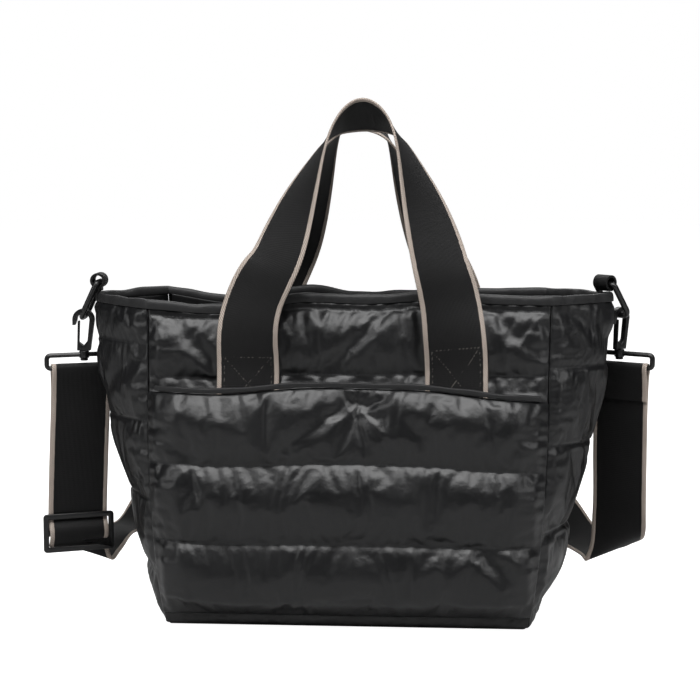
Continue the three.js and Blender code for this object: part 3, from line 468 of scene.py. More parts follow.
class Nodes:
    """A small helper that adds shader nodes to one material."""

    def __init__(self, name: str) -> None:
        """Start an empty material with a Principled shader."""
        self.material = bpy.data.materials.new(name)
        self.material.use_nodes = True
        self.tree = self.material.node_tree
        self.shader = self.tree.nodes["Principled BSDF"]

    def add(self, kind: str, **settings: object) -> bpy.types.Node:
        """Add one node.

        Args:
            kind: the node's type.
            settings: its properties, or its inputs where the name starts with in_.

        Returns:
            The new node.
        """
        node = self.tree.nodes.new(kind)
        for name, value in settings.items():
            if name.startswith("in_"):
                key = name[3:].replace("_", " ")
                node.inputs[int(key) if key.isdigit() else key].default_value = value
            else:
                setattr(node, name, value)
        return node

    def link(self, out: Socket, into: Socket) -> None:
        """Link two sockets."""
        self.tree.links.new(out, into)

    def coordinates(self) -> Socket:
        """Object coordinates, in metres."""
        return self.add("ShaderNodeTexCoord").outputs["Object"]

    def uv(self, turn: float = 0) -> Socket:
        """The piece's own UV map, in millimetres of cloth.

        Args:
            turn: the angle in radians by which it is turned.

        Returns:
            The vector.
        """
        coords = self.add("ShaderNodeUVMap", uv_map="cloth")
        mapping = self.add("ShaderNodeMapping")
        mapping.inputs["Scale"].default_value = (1 / MM, 1 / MM, 1 / MM)
        mapping.inputs["Rotation"].default_value = (0, 0, turn)
        self.link(coords.outputs["UV"], mapping.inputs["Vector"])
        return mapping.outputs["Vector"]

    def noise(self, vector: Socket, scale: float, detail: float = 3) -> Socket:
        """A noise texture's factor.

        Args:
            vector: the places.
            scale: how many grains there are in a metre.
            detail: how many finer layers are added.

        Returns:
            The factor.
        """
        node = self.add("ShaderNodeTexNoise", in_Scale=scale, in_Detail=detail, in_Roughness=0.55)
        self.link(vector, node.inputs["Vector"])
        return node.outputs["Fac"]

    def wave(self, vector: Socket, scale: float, across: str = "X") -> Socket:
        """A wave texture's factor, in bands.

        Args:
            vector: the places.
            scale: how close together the bands are.
            across: the axis that they follow each other along.

        Returns:
            The factor.
        """
        node = self.add("ShaderNodeTexWave", bands_direction=across, in_Scale=scale)
        node.wave_type = "BANDS"
        self.link(vector, node.inputs["Vector"])
        return node.outputs["Fac"]

    def math(self, operation: str, *values: object) -> Socket:
        """A math node.

        Args:
            operation: what it does.
            values: sockets and numbers.

        Returns:
            Its result.
        """
        node = self.add("ShaderNodeMath", operation=operation)
        for socket, value in zip(node.inputs, values):
            if isinstance(value, (int, float)):
                socket.default_value = value
            else:
                self.link(value, socket)
        return node.outputs[0]

    def mapped(self, value: Socket, *ends: float) -> Socket:
        """A value mapped from one range to another and clamped.

        Args:
            value: the socket that is mapped.
            ends: from low, from high, to low, to high.

        Returns:
            The mapped value.
        """
        node = self.add("ShaderNodeMapRange")
        self.link(value, node.inputs["Value"])
        for name, end in zip(("From Min", "From Max", "To Min", "To Max"), ends):
            node.inputs[name].default_value = end
        return node.outputs["Result"]

    def mixed(self, share: Socket, first: Sequence[float], second: Sequence[float]) -> Socket:
        """A colour between two, each a colour or a socket.

        Args:
            share: the second colour's share.
            first: a colour or a socket.
            second: a colour or a socket.

        Returns:
            The colour.
        """
        node = self.add("ShaderNodeMix", data_type="RGBA")
        self.link(share, node.inputs["Factor"])
        for socket, value in ((node.inputs[6], first), (node.inputs[7], second)):
            if isinstance(value, Socket):
                self.link(value, socket)
            else:
                socket.default_value = (*value, 1)
        return node.outputs[2]

    def bump(self, *layers: tuple[Socket, float, float]) -> None:
        """Lay bumps over each other, onto the shader.

        Args:
            layers: each a height, a distance in metres and a strength.
        """
        last = None
        for height, distance, strength in layers:
            node = self.add("ShaderNodeBump", in_Distance=distance, in_Strength=strength)
            self.link(height, node.inputs["Height"])
            if last is not None:
                self.link(last, node.inputs["Normal"])
            last = node.outputs["Normal"]
        self.link(last, self.shader.inputs["Normal"])


@dataclass(frozen=True)
class PufferNylon:
    """Thin shiny woven nylon over padding, with stitched seams."""

    name: str = "puffer_nylon"
    dark: Colour = (0.0024, 0.0025, 0.0029)
    light: Colour = (0.0042, 0.0043, 0.0049)
    thread: Colour = (0.008, 0.0082, 0.009)
    yarn: float = 0.42
    stitch: float = 3.2
    dash: float = 0.68
    seam_width: float = 1.1

    def make(self) -> Material:
        """Build the material.

        Returns:
            The material.
        """
        n = Nodes(self.name)
        places = n.coordinates()
        cloth = n.uv()
        fine = 1 / (2 * self.yarn) / 3.14
        warp, weft = n.wave(cloth, fine, "X"), n.wave(cloth, fine, "Y")
        weave = n.math("MAXIMUM", warp, weft)
        crinkle = n.noise(places, 260, 4)
        drift = n.noise(places, 22, 3)
        seam = n.add("ShaderNodeAttribute", attribute_name="seam").outputs["Fac"]
        split = n.add("ShaderNodeSeparateXYZ")
        n.link(cloth, split.inputs[0])
        run = n.math("FRACT", n.math("DIVIDE", split.outputs["X"], self.stitch))
        middle = n.math("ABSOLUTE", n.math("SUBTRACT", run, 0.5))
        dash = n.math("LESS_THAN", middle, self.dash / 2)
        line = n.math("LESS_THAN", seam, self.seam_width / 2)
        thread = n.math("MULTIPLY", dash, line)
        body = n.mixed(drift, self.dark, self.light)
        n.link(n.mixed(thread, body, self.thread), n.shader.inputs["Base Color"])
        sheen = n.mapped(drift, 0.3, 0.7, 0.33, 0.43)
        rough = n.math("ADD", sheen, n.math("MULTIPLY", thread, 0.25))
        n.link(rough, n.shader.inputs["Roughness"])
        n.bump(
            (n.noise(places, 95, 3), 0.0012, 0.32),
            (crinkle, 0.0005, 0.35),
            (weave, 0.00006, 0.25),
            (thread, 0.0004, 0.8),
        )
        return n.material


@dataclass(frozen=True)
class BindingTape:
    """Matte woven tape with a fine rib and a row of stitches."""

    name: str = "binding_tape"
    dark: Colour = (0.0028, 0.0028, 0.0032)
    light: Colour = (0.006, 0.006, 0.0068)
    roughness: float = 0.52

    def make(self) -> Material:
        """Build the material.

        Returns:
            The material.
        """
        n = Nodes(self.name)
        places = n.coordinates()
        rib = n.wave(n.uv(), 0.42, "X")
        drift = n.noise(places, 60, 4)
        n.link(n.mixed(drift, self.dark, self.light), n.shader.inputs["Base Color"])
        n.shader.inputs["Roughness"].default_value = self.roughness
        n.shader.inputs["Sheen Weight"].default_value = 0.02
        n.bump((n.noise(places, 240, 3), 0.0006, 0.4), (rib, 0.00012, 0.4))
        return n.material


@dataclass(frozen=True)
class EdgedWebbing:
    """Heavy black webbing with a pale corded stripe woven into each edge, and taupe stitching."""

    name: str = "webbing"
    dark: Colour = (0.0026, 0.0026, 0.0028)
    light: Colour = (0.0058, 0.0056, 0.0058)
    stripe: Colour = (0.52, 0.45, 0.395)
    # the darker colour in the cord's twist grooves: painted shade
    stripe_shade: Colour = (0.25, 0.205, 0.175)
    thread: Colour = (0.075, 0.069, 0.062)
    width: float = 50
    stripe_width: float = 3.7
    stripe_wobble: float = 1.1
    box_margin: float = 6
    box_height: float = 45
    stitch: float = 3.0
    thread_width: float = 0.84
    striped: bool = True

    def make(self) -> Material:
        """Build the material: U runs along the webbing and V across it.

        Returns:
            The material.
        """
        n = Nodes(self.name)
        places = n.coordinates()
        cloth = n.uv()
        split = n.add("ShaderNodeSeparateXYZ")
        n.link(cloth, split.inputs[0])
        along, across = split.outputs["X"], split.outputs["Y"]
        ribs = n.wave(cloth, 0.29, "Y")
        picks = n.wave(cloth, 0.2, "X")
        weave = n.math("MULTIPLY", ribs, n.mapped(picks, 0, 1, 0.55, 1))
        drift = n.noise(places, 45, 4)
        # The weave's low grooves are darker than its ribs: painted shade between the ribs, laid over random
        # tone from drift.
        lit = n.math("MULTIPLY", drift, n.mapped(weave, 0, 1, 0.6, 1.1))
        base = n.mixed(lit, self.dark, self.light)
        heights = [(n.noise(places, 120, 3), 0.0006, 0.18), (weave, 0.00035, 0.55)]
        if self.striped:
            edge = n.math("SUBTRACT", self.width / 2, n.math("ABSOLUTE", across))
            uneven = n.math("SUBTRACT", n.noise(places, 260, 2), 0.5)
            wobble = n.math("MULTIPLY", uneven, self.stripe_wobble)
            inside = n.math("LESS_THAN", n.math("ADD", edge, wobble), self.stripe_width)
            # The cord's twist: its low grooves take the darker stripe_shade colour as painted shade, and its
            # raised ridges take the pale stripe colour; drift adds random tone on top.
            twist = n.wave(n.uv(0.75), 0.22, "X")
            twist_shade_and_tone = n.math("MULTIPLY", twist, n.mapped(drift, 0.3, 0.7, 0.7, 1))
            base = n.mixed(inside, base, n.mixed(twist_shade_and_tone, self.stripe_shade, self.stripe))
            raised = n.math("MULTIPLY", inside, n.mapped(twist, 0, 1, 0.5, 1))
            heights.append((raised, 0.0006, 0.7))
            sewn = self.stitches(n, along, across)
            worn = n.math("GREATER_THAN", n.noise(places, 420, 2), 0.5)
            base = n.mixed(n.math("MULTIPLY", sewn, worn), base, self.thread)
            heights.append((sewn, -0.0006, 0.6))
        n.link(base, n.shader.inputs["Base Color"])
        n.shader.inputs["Roughness"].default_value = 0.62
        n.shader.inputs["Sheen Weight"].default_value = 0.02
        n.shader.inputs["Specular IOR Level"].default_value = 0.25
        n.shader.inputs["Sheen Roughness"].default_value = 0.4
        n.bump(*heights)
        return n.material

    def stitches(self, n: Nodes, along: Socket, across: Socket) -> Socket:
        """The stitches of a sewn end: a box with a cross in it.

        Args:
            n: the material's nodes.
            along: the distance along the webbing.
            across: the distance from its middle line.

        Returns:
            1 on a stitch and 0 elsewhere.
        """
        up = n.add("ShaderNodeAttribute", attribute_name="sewn").outputs["Fac"]
        wide = self.width / 2 - self.box_margin
        out = n.math("ABSOLUTE", across)
        share = n.mapped(across, -wide, wide, 0, 1)
        lines = [
            n.math("MULTIPLY", n.math("ABSOLUTE", n.math("SUBTRACT", up, 1)), self.box_height),
            n.math("ABSOLUTE", n.math("SUBTRACT", out, wide)),
        ]
        for end in (share, n.math("SUBTRACT", 1, share)):
            away = n.math("ABSOLUTE", n.math("SUBTRACT", up, end))
            lines.append(n.math("MULTIPLY", away, self.box_height * 0.65))
        nearest = lines[0]
        for line in lines[1:]:
            nearest = n.math("MINIMUM", nearest, line)
        low = n.math("LESS_THAN", up, 1.012)
        inside = n.math("MULTIPLY", low, n.math("LESS_THAN", out, wide + 0.5))
        place = n.math("ADD", n.math("MULTIPLY", along, 0.6), across)
        dash = n.math("LESS_THAN", n.math("FRACT", n.math("DIVIDE", place, self.stitch)), 0.55)
        line = n.math("LESS_THAN", nearest, self.thread_width / 2)
        return n.math("MULTIPLY", line, n.math("MULTIPLY", inside, dash))


@dataclass(frozen=True)
class MouldedPlastic:
    """Moulded black plastic with a fine texture and softly worn edges."""

    name: str = "hardware"
    dark: Colour = (0.003, 0.003, 0.0033)
    light: Colour = (0.006, 0.006, 0.0064)

    def make(self) -> Material:
        """Build the material.

        Returns:
            The material.
        """
        n = Nodes(self.name)
        places = n.coordinates()
        drift = n.noise(places, 90, 4)
        n.link(n.mixed(drift, self.dark, self.light), n.shader.inputs["Base Color"])
        n.link(n.mapped(drift, 0.3, 0.7, 0.27, 0.42), n.shader.inputs["Roughness"])
        n.bump((n.noise(places, 900, 3), 0.00012, 0.35), (n.noise(places, 150, 2), 0.0004, 0.2))
        return n.material


# ---------------------------------------------------------------- padded walls


def grid_faces(columns: int, rows: int) -> list[Face]:
    """The faces of a grid whose corners run along its rows, from the lowest up.

    Args:
        columns: how many faces a row has.
        rows: how many rows there are.

    Returns:
        The corner indices of each face.
    """
    across = columns + 1
    starts = [j * across + i for j in range(rows) for i in range(columns)]
    return [(a, a + 1, a + 1 + across, a + across) for a in starts]


def sheet_faces(columns: int, rows: int) -> list[Face]:
    """The faces of a closed sheet: an outer grid, an inner grid and the rim between them.

    Args:
        columns: how many faces a grid's row has.
        rows: how many rows there are.

    Returns:
        The corner indices of each face.
    """
    across = columns + 1
    inner = across * (rows + 1)
    faces: list[Face] = []
    for quad in grid_faces(columns, rows):
        faces += [quad, tuple(k + inner for k in reversed(quad))]
    rim = [
        *range(columns),
        *(j * across + columns for j in range(rows)),
        *(rows * across + i for i in range(columns, 0, -1)),
        *(j * across for j in range(rows, 0, -1)),
    ]
    for here, following in zip(rim, rim[1:] + rim[:1]):
        faces.append((here, here + inner, following + inner, following))
    return faces


def ring_faces(count: int, sides: int, closed: bool, turned: bool = False) -> list[Face]:
    """The faces between rings of corners.

    Args:
        count: how many rings there are.
        sides: how many corners a ring has.
        closed: whether the last ring meets the first.
        turned: whether the faces look the other way.

    Returns:
        The corner indices of each face.
    """
    faces = []
    for s in range(count if closed else count - 1):
        here, following = s * sides, ((s + 1) % count) * sides
        for k in range(sides):
            l = (k + 1) % sides
            first, rest = here + k, (following + k, following + l, here + l)
            faces.append((first, *(reversed(rest) if turned else rest)))
    return faces


CLOTH_SETTINGS = {
    "quality": 5,
    "mass": 0.12,
    "tension_stiffness": 18,
    "compression_stiffness": 18,
    "shear_stiffness": 6,
    "bending_stiffness": 0.08,
    "tension_damping": 8,
    "compression_damping": 8,
    "air_damping": 2,
    "shrink_min": -0.026,
    "use_pressure": True,
    "uniform_pressure_force": 2.4,
    "vertex_group_mass": "sewn",
}
SWELL_STEPS = 20


@dataclass
class PaddedWall:
    """One quilted wall. Its cloth is sewn down along its seams and swells between them."""

    name: str
    node: str
    width: float
    columns: int
    rows: int
    seed: int
    fill: float = 0.6
    pucker: float = 1.25
    swell: float = 5.0
    seam_gap: float = 0.06
    gather_height: float = 1.5
    ladder_height: float = 1.3
    ladder_reach: float = 9
    cloth: Optional[Piece] = None
    start: Optional[Array] = None

    def surface(self, t: Array, climb: Array) -> tuple[Array, Array]:
        """The plain surface and its outward direction at shares across and up the wall."""
        raise NotImplementedError

    def puff(self, t: Array, climb: Array) -> Array:
        """How far the padding pushes the cloth out from the plain surface."""
        raise NotImplementedError

    def inner(self, t: Array, climb: Array) -> Array:
        """How far behind the plain surface the inner face lies, as a negative offset."""
        raise NotImplementedError

    def seam_heights(self) -> list[float]:
        """The sewn seams' heights, as shares up the wall."""
        raise NotImplementedError

    def length(self) -> float:
        """The wall's height in mm."""
        raise NotImplementedError

    def grid(self) -> tuple[Array, Array]:
        """The shares across and up of the grid's corners, with a row of corners on each seam.

        Returns:
            The shares across and the shares up.
        """
        inset = self.seam_gap / 2 / self.width
        t = np.linspace(inset, 1 - inset, self.columns + 1)
        climbs = np.linspace(0, 1, self.rows + 1)
        for seam in self.seam_heights():
            climbs[np.argmin(np.abs(climbs - seam))] = seam
        return np.meshgrid(t, climbs)

    def puckers(self, t: Array, climb: Array) -> Array:
        """The gathers that run out of the seams, irregular in spacing, length and depth.

        Args:
            t: shares across the wall.
            climb: shares up the wall.

        Returns:
            How far they lift the cloth, in mm.
        """
        x = t * self.width
        total = np.zeros_like(x)
        for k, seam in enumerate([0.0, *self.seam_heights(), 1.0]):
            d = (climb - seam) * self.length()
            for sign, reach, strength in ((-1, 11.0, 1.0), (1, 7.0, 0.7)):
                away = np.clip(sign * d, 0, None)
                here = sign * d > 0
                skewed = x + 0.35 * away * waves(x, self.seed + 31 * k, 60, 160)
                long = reach * (0.6 + 0.4 * (1 + waves(x, self.seed + 7 * k + sign, 25, 70)) / 2)
                fine = waves(skewed, self.seed + 13 * k + sign, 5.5, 17)
                fade = (away / (away + 2.5)) * np.exp(-away / long)
                strong = 0.45 + 0.55 * np.clip(0.5 + waves(x, self.seed + 5 * k, 40, 130), 0, 1)
                total += np.where(here, strength * strong * fine * fade, 0)
        side = np.minimum(t, 1 - t) * self.width
        z = climb * self.length()
        ladder = waves(z + 3 * (t > 0.5), self.seed + 99, 6, 18)
        ladder = ladder * np.exp(-side / self.ladder_reach) * side / (side + 2)
        return self.pucker * (self.gather_height * total + self.ladder_height * ladder)

    def cut(self) -> None:
        """Make the cloth's outer face as a grid, laid over the padding."""
        t, climb = self.grid()
        base, out = self.surface(t, climb)
        gathers = self.puckers(t, climb) * self.sewn_taper(t, climb)
        lift = np.maximum(self.puff(t, climb) + gathers, 0)
        points = (base + out * lift[..., None]).reshape(-1, 3)
        self.cloth = new_mesh_object(self.name, points, grid_faces(self.columns, self.rows))
        self.start = points
        pins = self.cloth.vertex_groups.new(name="sewn")
        held = self.sewn_taper(t, climb).ravel() < 0.02
        pins.add([int(k) for k in np.nonzero(held)[0]], 1.0, "REPLACE")
        self.load_cloth()

    def sewn_taper(self, t: Array, climb: Array) -> Array:
        """0 where the cloth is sewn down, 1 away from there.

        Args:
            t: shares across the wall.
            climb: shares up the wall.

        Returns:
            The shares of free cloth.
        """
        d = np.minimum(t, 1 - t) * self.width
        z = climb * self.length()
        for seam in [0.0, *self.seam_heights(), 1.0]:
            d = np.minimum(d, np.abs(z - seam * self.length()))
        return smoothstep(d, 0.2, 3.0)

    def load_cloth(self) -> None:
        """Set the cloth up: extra width gathers it at the seams, and padding presses it out."""
        modifier = self.cloth.modifiers.new("cloth", "CLOTH")
        for name, value in CLOTH_SETTINGS.items():
            setattr(modifier.settings, name, value)
        modifier.settings.effector_weights.gravity = 0
        modifier.collision_settings.use_collision = False
        modifier.collision_settings.use_self_collision = False

    def finish(self, material: Material) -> Piece:
        """Take the swollen cloth, cap how far it moved, close it with its inner face and round it.

        Args:
            material: the wall's finish.

        Returns:
            The dressed piece.
        """
        t, climb = self.grid()
        if self.cloth.modifiers:
            apply_modifiers(self.cloth)
        step = corners_of(self.cloth) / MM - self.start
        length = np.linalg.norm(step, axis=1, keepdims=True)
        step *= np.minimum(1, self.swell / np.maximum(length, 1e-9)) ** 0.5
        outer = self.start + step
        base, out = self.surface(t, climb)
        base, out = base.reshape(-1, 3), out.reshape(-1, 3)
        height = np.einsum("ij,ij->i", outer - base, out)
        outer = outer + out * np.clip(0.05 - height, 0, None)[:, None]
        inner = base + out * self.inner(t, climb).reshape(-1, 1)
        bpy.data.objects.remove(self.cloth)
        faces = sheet_faces(self.columns, self.rows)
        obj = new_mesh_object(self.name, np.concatenate([outer, inner]), faces)
        z = climb * self.length()
        away = np.full(z.shape, NO_STITCH)
        for seam in self.seam_heights():
            away = np.minimum(away, np.abs(z - seam * self.length()))
        lining = np.full(away.size, NO_STITCH)
        write_attribute(obj, "seam", np.concatenate([away.ravel(), lining]))
        flat = np.stack([t.ravel() * self.width, z.ravel()], -1) * MM
        write_uv(obj, np.concatenate([flat, flat]))
        subdivide(obj)
        smooth(obj)
        dress(obj, material, "puffer_nylon", self.node)
        return obj


@dataclass
class BodyWall(PaddedWall):
    """A wall of the bag's body, from the base to the mouth's binding."""

    side: Side = Side.FRONT
    channels: Sequence[Channel] = ()
    folds: Sequence[Fold] = ()
    foot: float = 1.6
    seam_pinch: float = 10
    lining: float = 2.0
    lining_puff: float = 1.2

    def share(self, climb: Array) -> Array:
        """The share of the body's height at a share up the wall."""
        return lerp(self.foot / FORM.height, FORM.top_share, climb)

    def length(self) -> float:
        """The wall's height in mm."""
        return FORM.top_share * FORM.height - self.foot

    def seam_heights(self) -> list[float]:
        """The sewn seams' heights, as shares up the wall."""
        low = self.foot / FORM.height
        return [(c.top - low) / (FORM.top_share - low) for c in self.channels[:-1]]

    def surface(self, t: Array, climb: Array) -> tuple[Array, Array]:
        """The plain surface and its outward direction."""
        turn, share = self.side.value + t, self.share(climb)
        return FORM.point(turn, share), FORM.normal(turn, share)

    def puff(self, t: Array, climb: Array) -> Array:
        """How far the padding pushes the cloth out."""
        share = self.share(climb)
        taper = edge_taper(t, self.width, self.seam_pinch)
        puffed = channel_puff(self.channels, share) - fold_depth(self.folds, t, share, self.width)
        under_tape = smoothstep(FORM.top_share * FORM.height - share * FORM.height, 1.6, 4)
        return taper * np.maximum(puffed, 0) * lerp(0.25, 1, under_tape)

    def inner(self, t: Array, climb: Array) -> Array:
        """The lining's offset."""
        share = self.share(climb)
        above = smoothstep(share * FORM.height, 12, 24)
        full = above * edge_taper(t, self.width, self.seam_pinch)
        return -self.lining - self.lining_puff * full


PANEL_CHANNELS = (
    Channel(0.0375, 0.4),
    Channel(0.274, 2),
    Channel(0.511, 2),
    Channel(0.763, 2.6),
    Channel(0.952, 6),
    Channel(1, 2.4),
)
BACK_PUFFS = (0.4, 6.5, 6.5, 6.5, 6, 2.4)
BACK_CHANNELS = tuple(Channel(c.top, puff) for c, puff in zip(PANEL_CHANNELS, BACK_PUFFS))


@dataclass
class PocketWall(PaddedWall):
    """The padded wall of the front pocket, drawn in at its snap."""

    foot: float = 11
    height: float = 196
    room: float = 9.6
    pinch: float = 30
    full: float = 7
    under: float = 2.6
    cloth_back: float = 2.0
    seams: tuple[float, float] = (0.3395, 0.68)
    snap_across: float = 0.526
    snap_drop: float = 22
    snap_spread: float = 24
    snap_thickness: float = 2.4
    folds: Sequence[Fold] = ()
    rim: list[Row] = field(
        default_factory=lambda: rows_of(
            "across lift", (0, 1), (0.2, 0), (0.5, 2.5), (0.7, 0), (0.85, -4.5), (1, -7.5)
        )
    )

    def length(self) -> float:
        """The wall's height in mm."""
        return self.height - FORM.binding_height - self.foot

    def seam_heights(self) -> list[float]:
        """The sewn seams' heights, as shares up the wall."""
        return list(self.seams)

    def share(self, t: Array, climb: Array) -> Array:
        """The share of the body's height at shares across and up the pocket."""
        top = self.height + from_table(self.rim, "across", t, "lift") - FORM.binding_height
        return lerp(self.foot, top, climb) / FORM.height

    def snap_pull(self, t: Array, share: Array) -> Array:
        """How much the snap draws the wall in, from 0 to 1.

        Args:
            t: shares across the wall.
            share: shares of the body's height.

        Returns:
            The shares.
        """
        up = share * FORM.height - (self.height - self.snap_drop)
        away = np.hypot((t - self.snap_across) * self.width, up)
        return np.exp(-((away / self.snap_spread) ** 2))

    def stand(self, t: Array, share: Array) -> Array:
        """How far the wall's inner face stands off the body's plain surface.

        Args:
            t: shares across the wall.
            share: shares of the body's height.

        Returns:
            The distances in mm.
        """
        height = share * FORM.height
        wall = self.under * smoothstep(height, self.foot - 6, self.foot + 2) * edge_taper(t, self.width, 8)
        room = smoothstep(height, self.foot, self.foot + 16) * edge_taper(t, self.width, self.pinch)
        free = GAP + wall + self.room * room
        snap = np.full(1, (self.height - self.snap_drop) / FORM.height)
        held = channel_puff(PANEL_CHANNELS, snap)[0] + self.snap_thickness + 2 * GAP
        return lerp(free, np.minimum(free, held), self.snap_pull(t, share) ** 0.5)

    def surface(self, t: Array, climb: Array) -> tuple[Array, Array]:
        """The surface of the wall without its padding."""
        share = self.share(t, climb)
        out = FORM.normal(t, share)
        return FORM.point(t, share) + out * (self.stand(t, share) + self.cloth_back)[..., None], out

    def puff(self, t: Array, climb: Array) -> Array:
        """How far the padding pushes the cloth out."""
        share = self.share(t, climb)
        channels = [Channel(s, self.full) for s in (*self.seams, 1.0)]
        drawn = 1 - 0.8 * self.snap_pull(t, share)
        puffed = channel_puff(channels, climb) * drawn - fold_depth(self.folds, t, share, self.width)
        fan = self.snap_fan(t, share)
        return edge_taper(t, self.width, 10) * np.maximum(puffed + fan, 0)

    def snap_fan(self, t: Array, share: Array) -> Array:
        """The small folds that fan out from the snap, and the dimple over it.

        Args:
            t: shares across the wall.
            share: shares of the body's height.

        Returns:
            How far they lift the cloth, in mm.
        """
        dx = (t - self.snap_across) * self.width
        dz = share * FORM.height - (self.height - self.snap_drop)
        away = np.hypot(dx, dz)
        angle = np.arctan2(dz, dx)
        rays = np.sin(7 * angle + 1.3) + 0.6 * np.sin(11 * angle + 0.4)
        fan = 0.85 * rays * np.exp(-(((away - 17) / 11) ** 2))
        return fan - 1.6 * np.exp(-((away / 6.0) ** 2))

    def inner(self, t: Array, climb: Array) -> Array:
        """The inner face's offset."""
        return np.full(t.shape, -self.cloth_back)


# ---------------------------------------------------------------- body


@dataclass
class Body:
    """The four padded walls, the pocket, the base pad, and the bound edges."""

    nylon: Material
    tape: Material
    binding_half: float = 2.3
    tape_inset: float = 0.8
    facing_height: float = 20
    facing_thickness: float = 1.1
    walls: list[PaddedWall] = field(default_factory=list)

    def make_walls(self) -> None:
        """Cut every padded wall and let the cloth of all of them swell together."""
        panel, gusset = 2 * FORM.panel_half_width, 2 * FORM.base_half_depth
        self.walls = [
            BodyWall("front_wall", "front_panel", panel, 120, 96, 11, side=Side.FRONT,
                     channels=PANEL_CHANNELS, folds=(
                         Fold((0.63, 0.98), (0.46, 0.79), 3.2, 7),
                         Fold((0.06, 0.95), (0.16, 0.82), 2.2, 8),
                         Fold((0.86, 0.94), (0.97, 0.83), 2, 8))),
            BodyWall("right_gusset_wall", "right_gusset", gusset, 72, 96, 23, pucker=0.8, side=Side.RIGHT,
                     channels=(Channel(0.055, 1.6), Channel(0.293, 4.2), Channel(0.556, 4.4),
                               Channel(0.786, 4), Channel(1, 3.4)),
                     folds=(Fold((0.05, 0.96), (0.5, 0.84), 2.6, 9),)),
            BodyWall("back_wall", "back_panel", panel, 120, 96, 37, side=Side.BACK,
                     channels=BACK_CHANNELS, folds=(
                         Fold((0.3, 0.95), (0.42, 0.79), 2.6, 9),
                         Fold((0.75, 0.5), (0.6, 0.36), 2.6, 10))),
            BodyWall("left_gusset_wall", "left_gusset", gusset, 72, 96, 41, pucker=0.8, side=Side.LEFT,
                     channels=(Channel(0.158, 3.4), Channel(0.385, 4.2), Channel(0.626, 4),
                               Channel(0.86, 3.8), Channel(1, 3.4)),
                     folds=(Fold((0.95, 0.82), (0.5, 0.68), 3, 9),)),
            PocketWall("pocket_wall", "front_pocket", panel, 124, 72, 53, folds=(
                         Fold((0.5, 0.66), (0.36, 0.56), 3.4, 8),
                         Fold((0.55, 0.66), (0.68, 0.6), 2.6, 8),
                         Fold((0.02, 0.6), (0.1, 0.53), 3, 7),
                         Fold((0.98, 0.62), (0.9, 0.54), 2.6, 7),
                         Fold((0.02, 0.34), (0.12, 0.42), 2.4, 8),
                         Fold((0.97, 0.12), (0.86, 0.24), 3, 8))),
        ]
        for wall in self.walls:
            wall.cut()
        for step in range(1, SWELL_STEPS + 1):
            bpy.context.scene.frame_set(step)
        for wall in self.walls:
            wall.finish(self.nylon)

    def tube(self, name: str, sections: Array, closed: bool, uv_along: Array) -> Piece:
        """A solid through cross-sections of equal corner counts, with U along it and V round it.

        Args:
            name: the piece's name.
            sections: the corners of each cross-section, in mm.
            closed: whether the last meets the first.
            uv_along: the distance along the piece at each cross-section.

        Returns:
            The object.
        """
        count, sides = sections.shape[:2]
        faces = ring_faces(count, sides, closed, turned=True)
        if not closed:
            faces.append(tuple(reversed(range(sides))))
            faces.append(tuple((count - 1) * sides + k for k in range(sides)))
        obj = new_mesh_object(name, sections.reshape(-1, 3), faces)
        v = np.linspace(0, 2 * self.binding_half, sides)
        write_uv(obj, np.stack(np.meshgrid(uv_along, v, indexing="ij"), -1).reshape(-1, 2) * MM)
        return obj

    def make_mouth_binding(self) -> None:
        """The folded tape round the mouth, a little uneven where it is gathered."""
        count = 420
        turn = np.linspace(0, 4, count, endpoint=False)
        share = np.full(count, FORM.top_share)
        out = FORM.normal(turn, share)
        base = FORM.point(turn, share) - out * self.tape_inset
        run = np.cumsum(np.r_[0, np.linalg.norm(np.diff(base, axis=0), axis=1)])
        swell = 1 + 0.1 * waves(run, 3, 11, 37)
        rise = 1 + 0.06 * waves(run, 5, 23, 61)
        top = FORM.binding_height
        profile = [
            (-2.7, -1.4), (-2.9, 0.4), (-2.6, 4.2), (-1.2, top * 0.98),
            (1.2, top * 0.98), (2.6, 4.2), (2.9, 0.4), (2.9, -1.4),
            (2.35, -1.5), (2.2, 0.1), (-2.0, 0.1), (-2.1, -1.5),
        ]
        rings = [
            base + out * (o * swell)[:, None] + np.outer(GAP + h * (rise if h > 0 else 1), (0, 0, 1))
            for o, h in profile
        ]
        sections = np.stack(rings, 1)
        obj = self.tube("mouth_tape", sections, True, run)
        subdivide(obj)
        smooth(obj)
        dress(obj, self.tape, "binding_tape", "mouth_binding")

    def make_pocket_binding(self) -> None:
        """The folded tape on the pocket's edge."""
        pocket: PocketWall = self.walls[-1]
        half = self.binding_half * 0.85
        count = 180
        t = np.linspace(0.02, 0.98, count)
        share = pocket.share(t, np.ones(count))
        out = FORM.normal(t, share)
        stand = np.maximum(pocket.stand(t, share), 2 * GAP) + half
        base = FORM.point(t, share) + out * stand[:, None]
        run = t * pocket.width
        rise = 1 + 0.06 * waves(run, 9, 19, 53)
        profile = [(-1, 0), (-1.02, 0.4), (-0.9, 0.8), (0, 1), (0.9, 0.8), (1.02, 0.4), (1, 0)]
        rings = [
            base + out * o * half + np.outer(GAP + h * 0.72 * FORM.binding_height * rise, (0, 0, 1))
            for o, h in profile
        ]
        sections = np.stack(rings, 1)
        obj = self.tube("pocket_tape", sections, False, run)
        bevel(obj, 0.4, 2)
        subdivide(obj)
        smooth(obj)
        dress(obj, self.tape, "binding_tape", "pocket_binding")

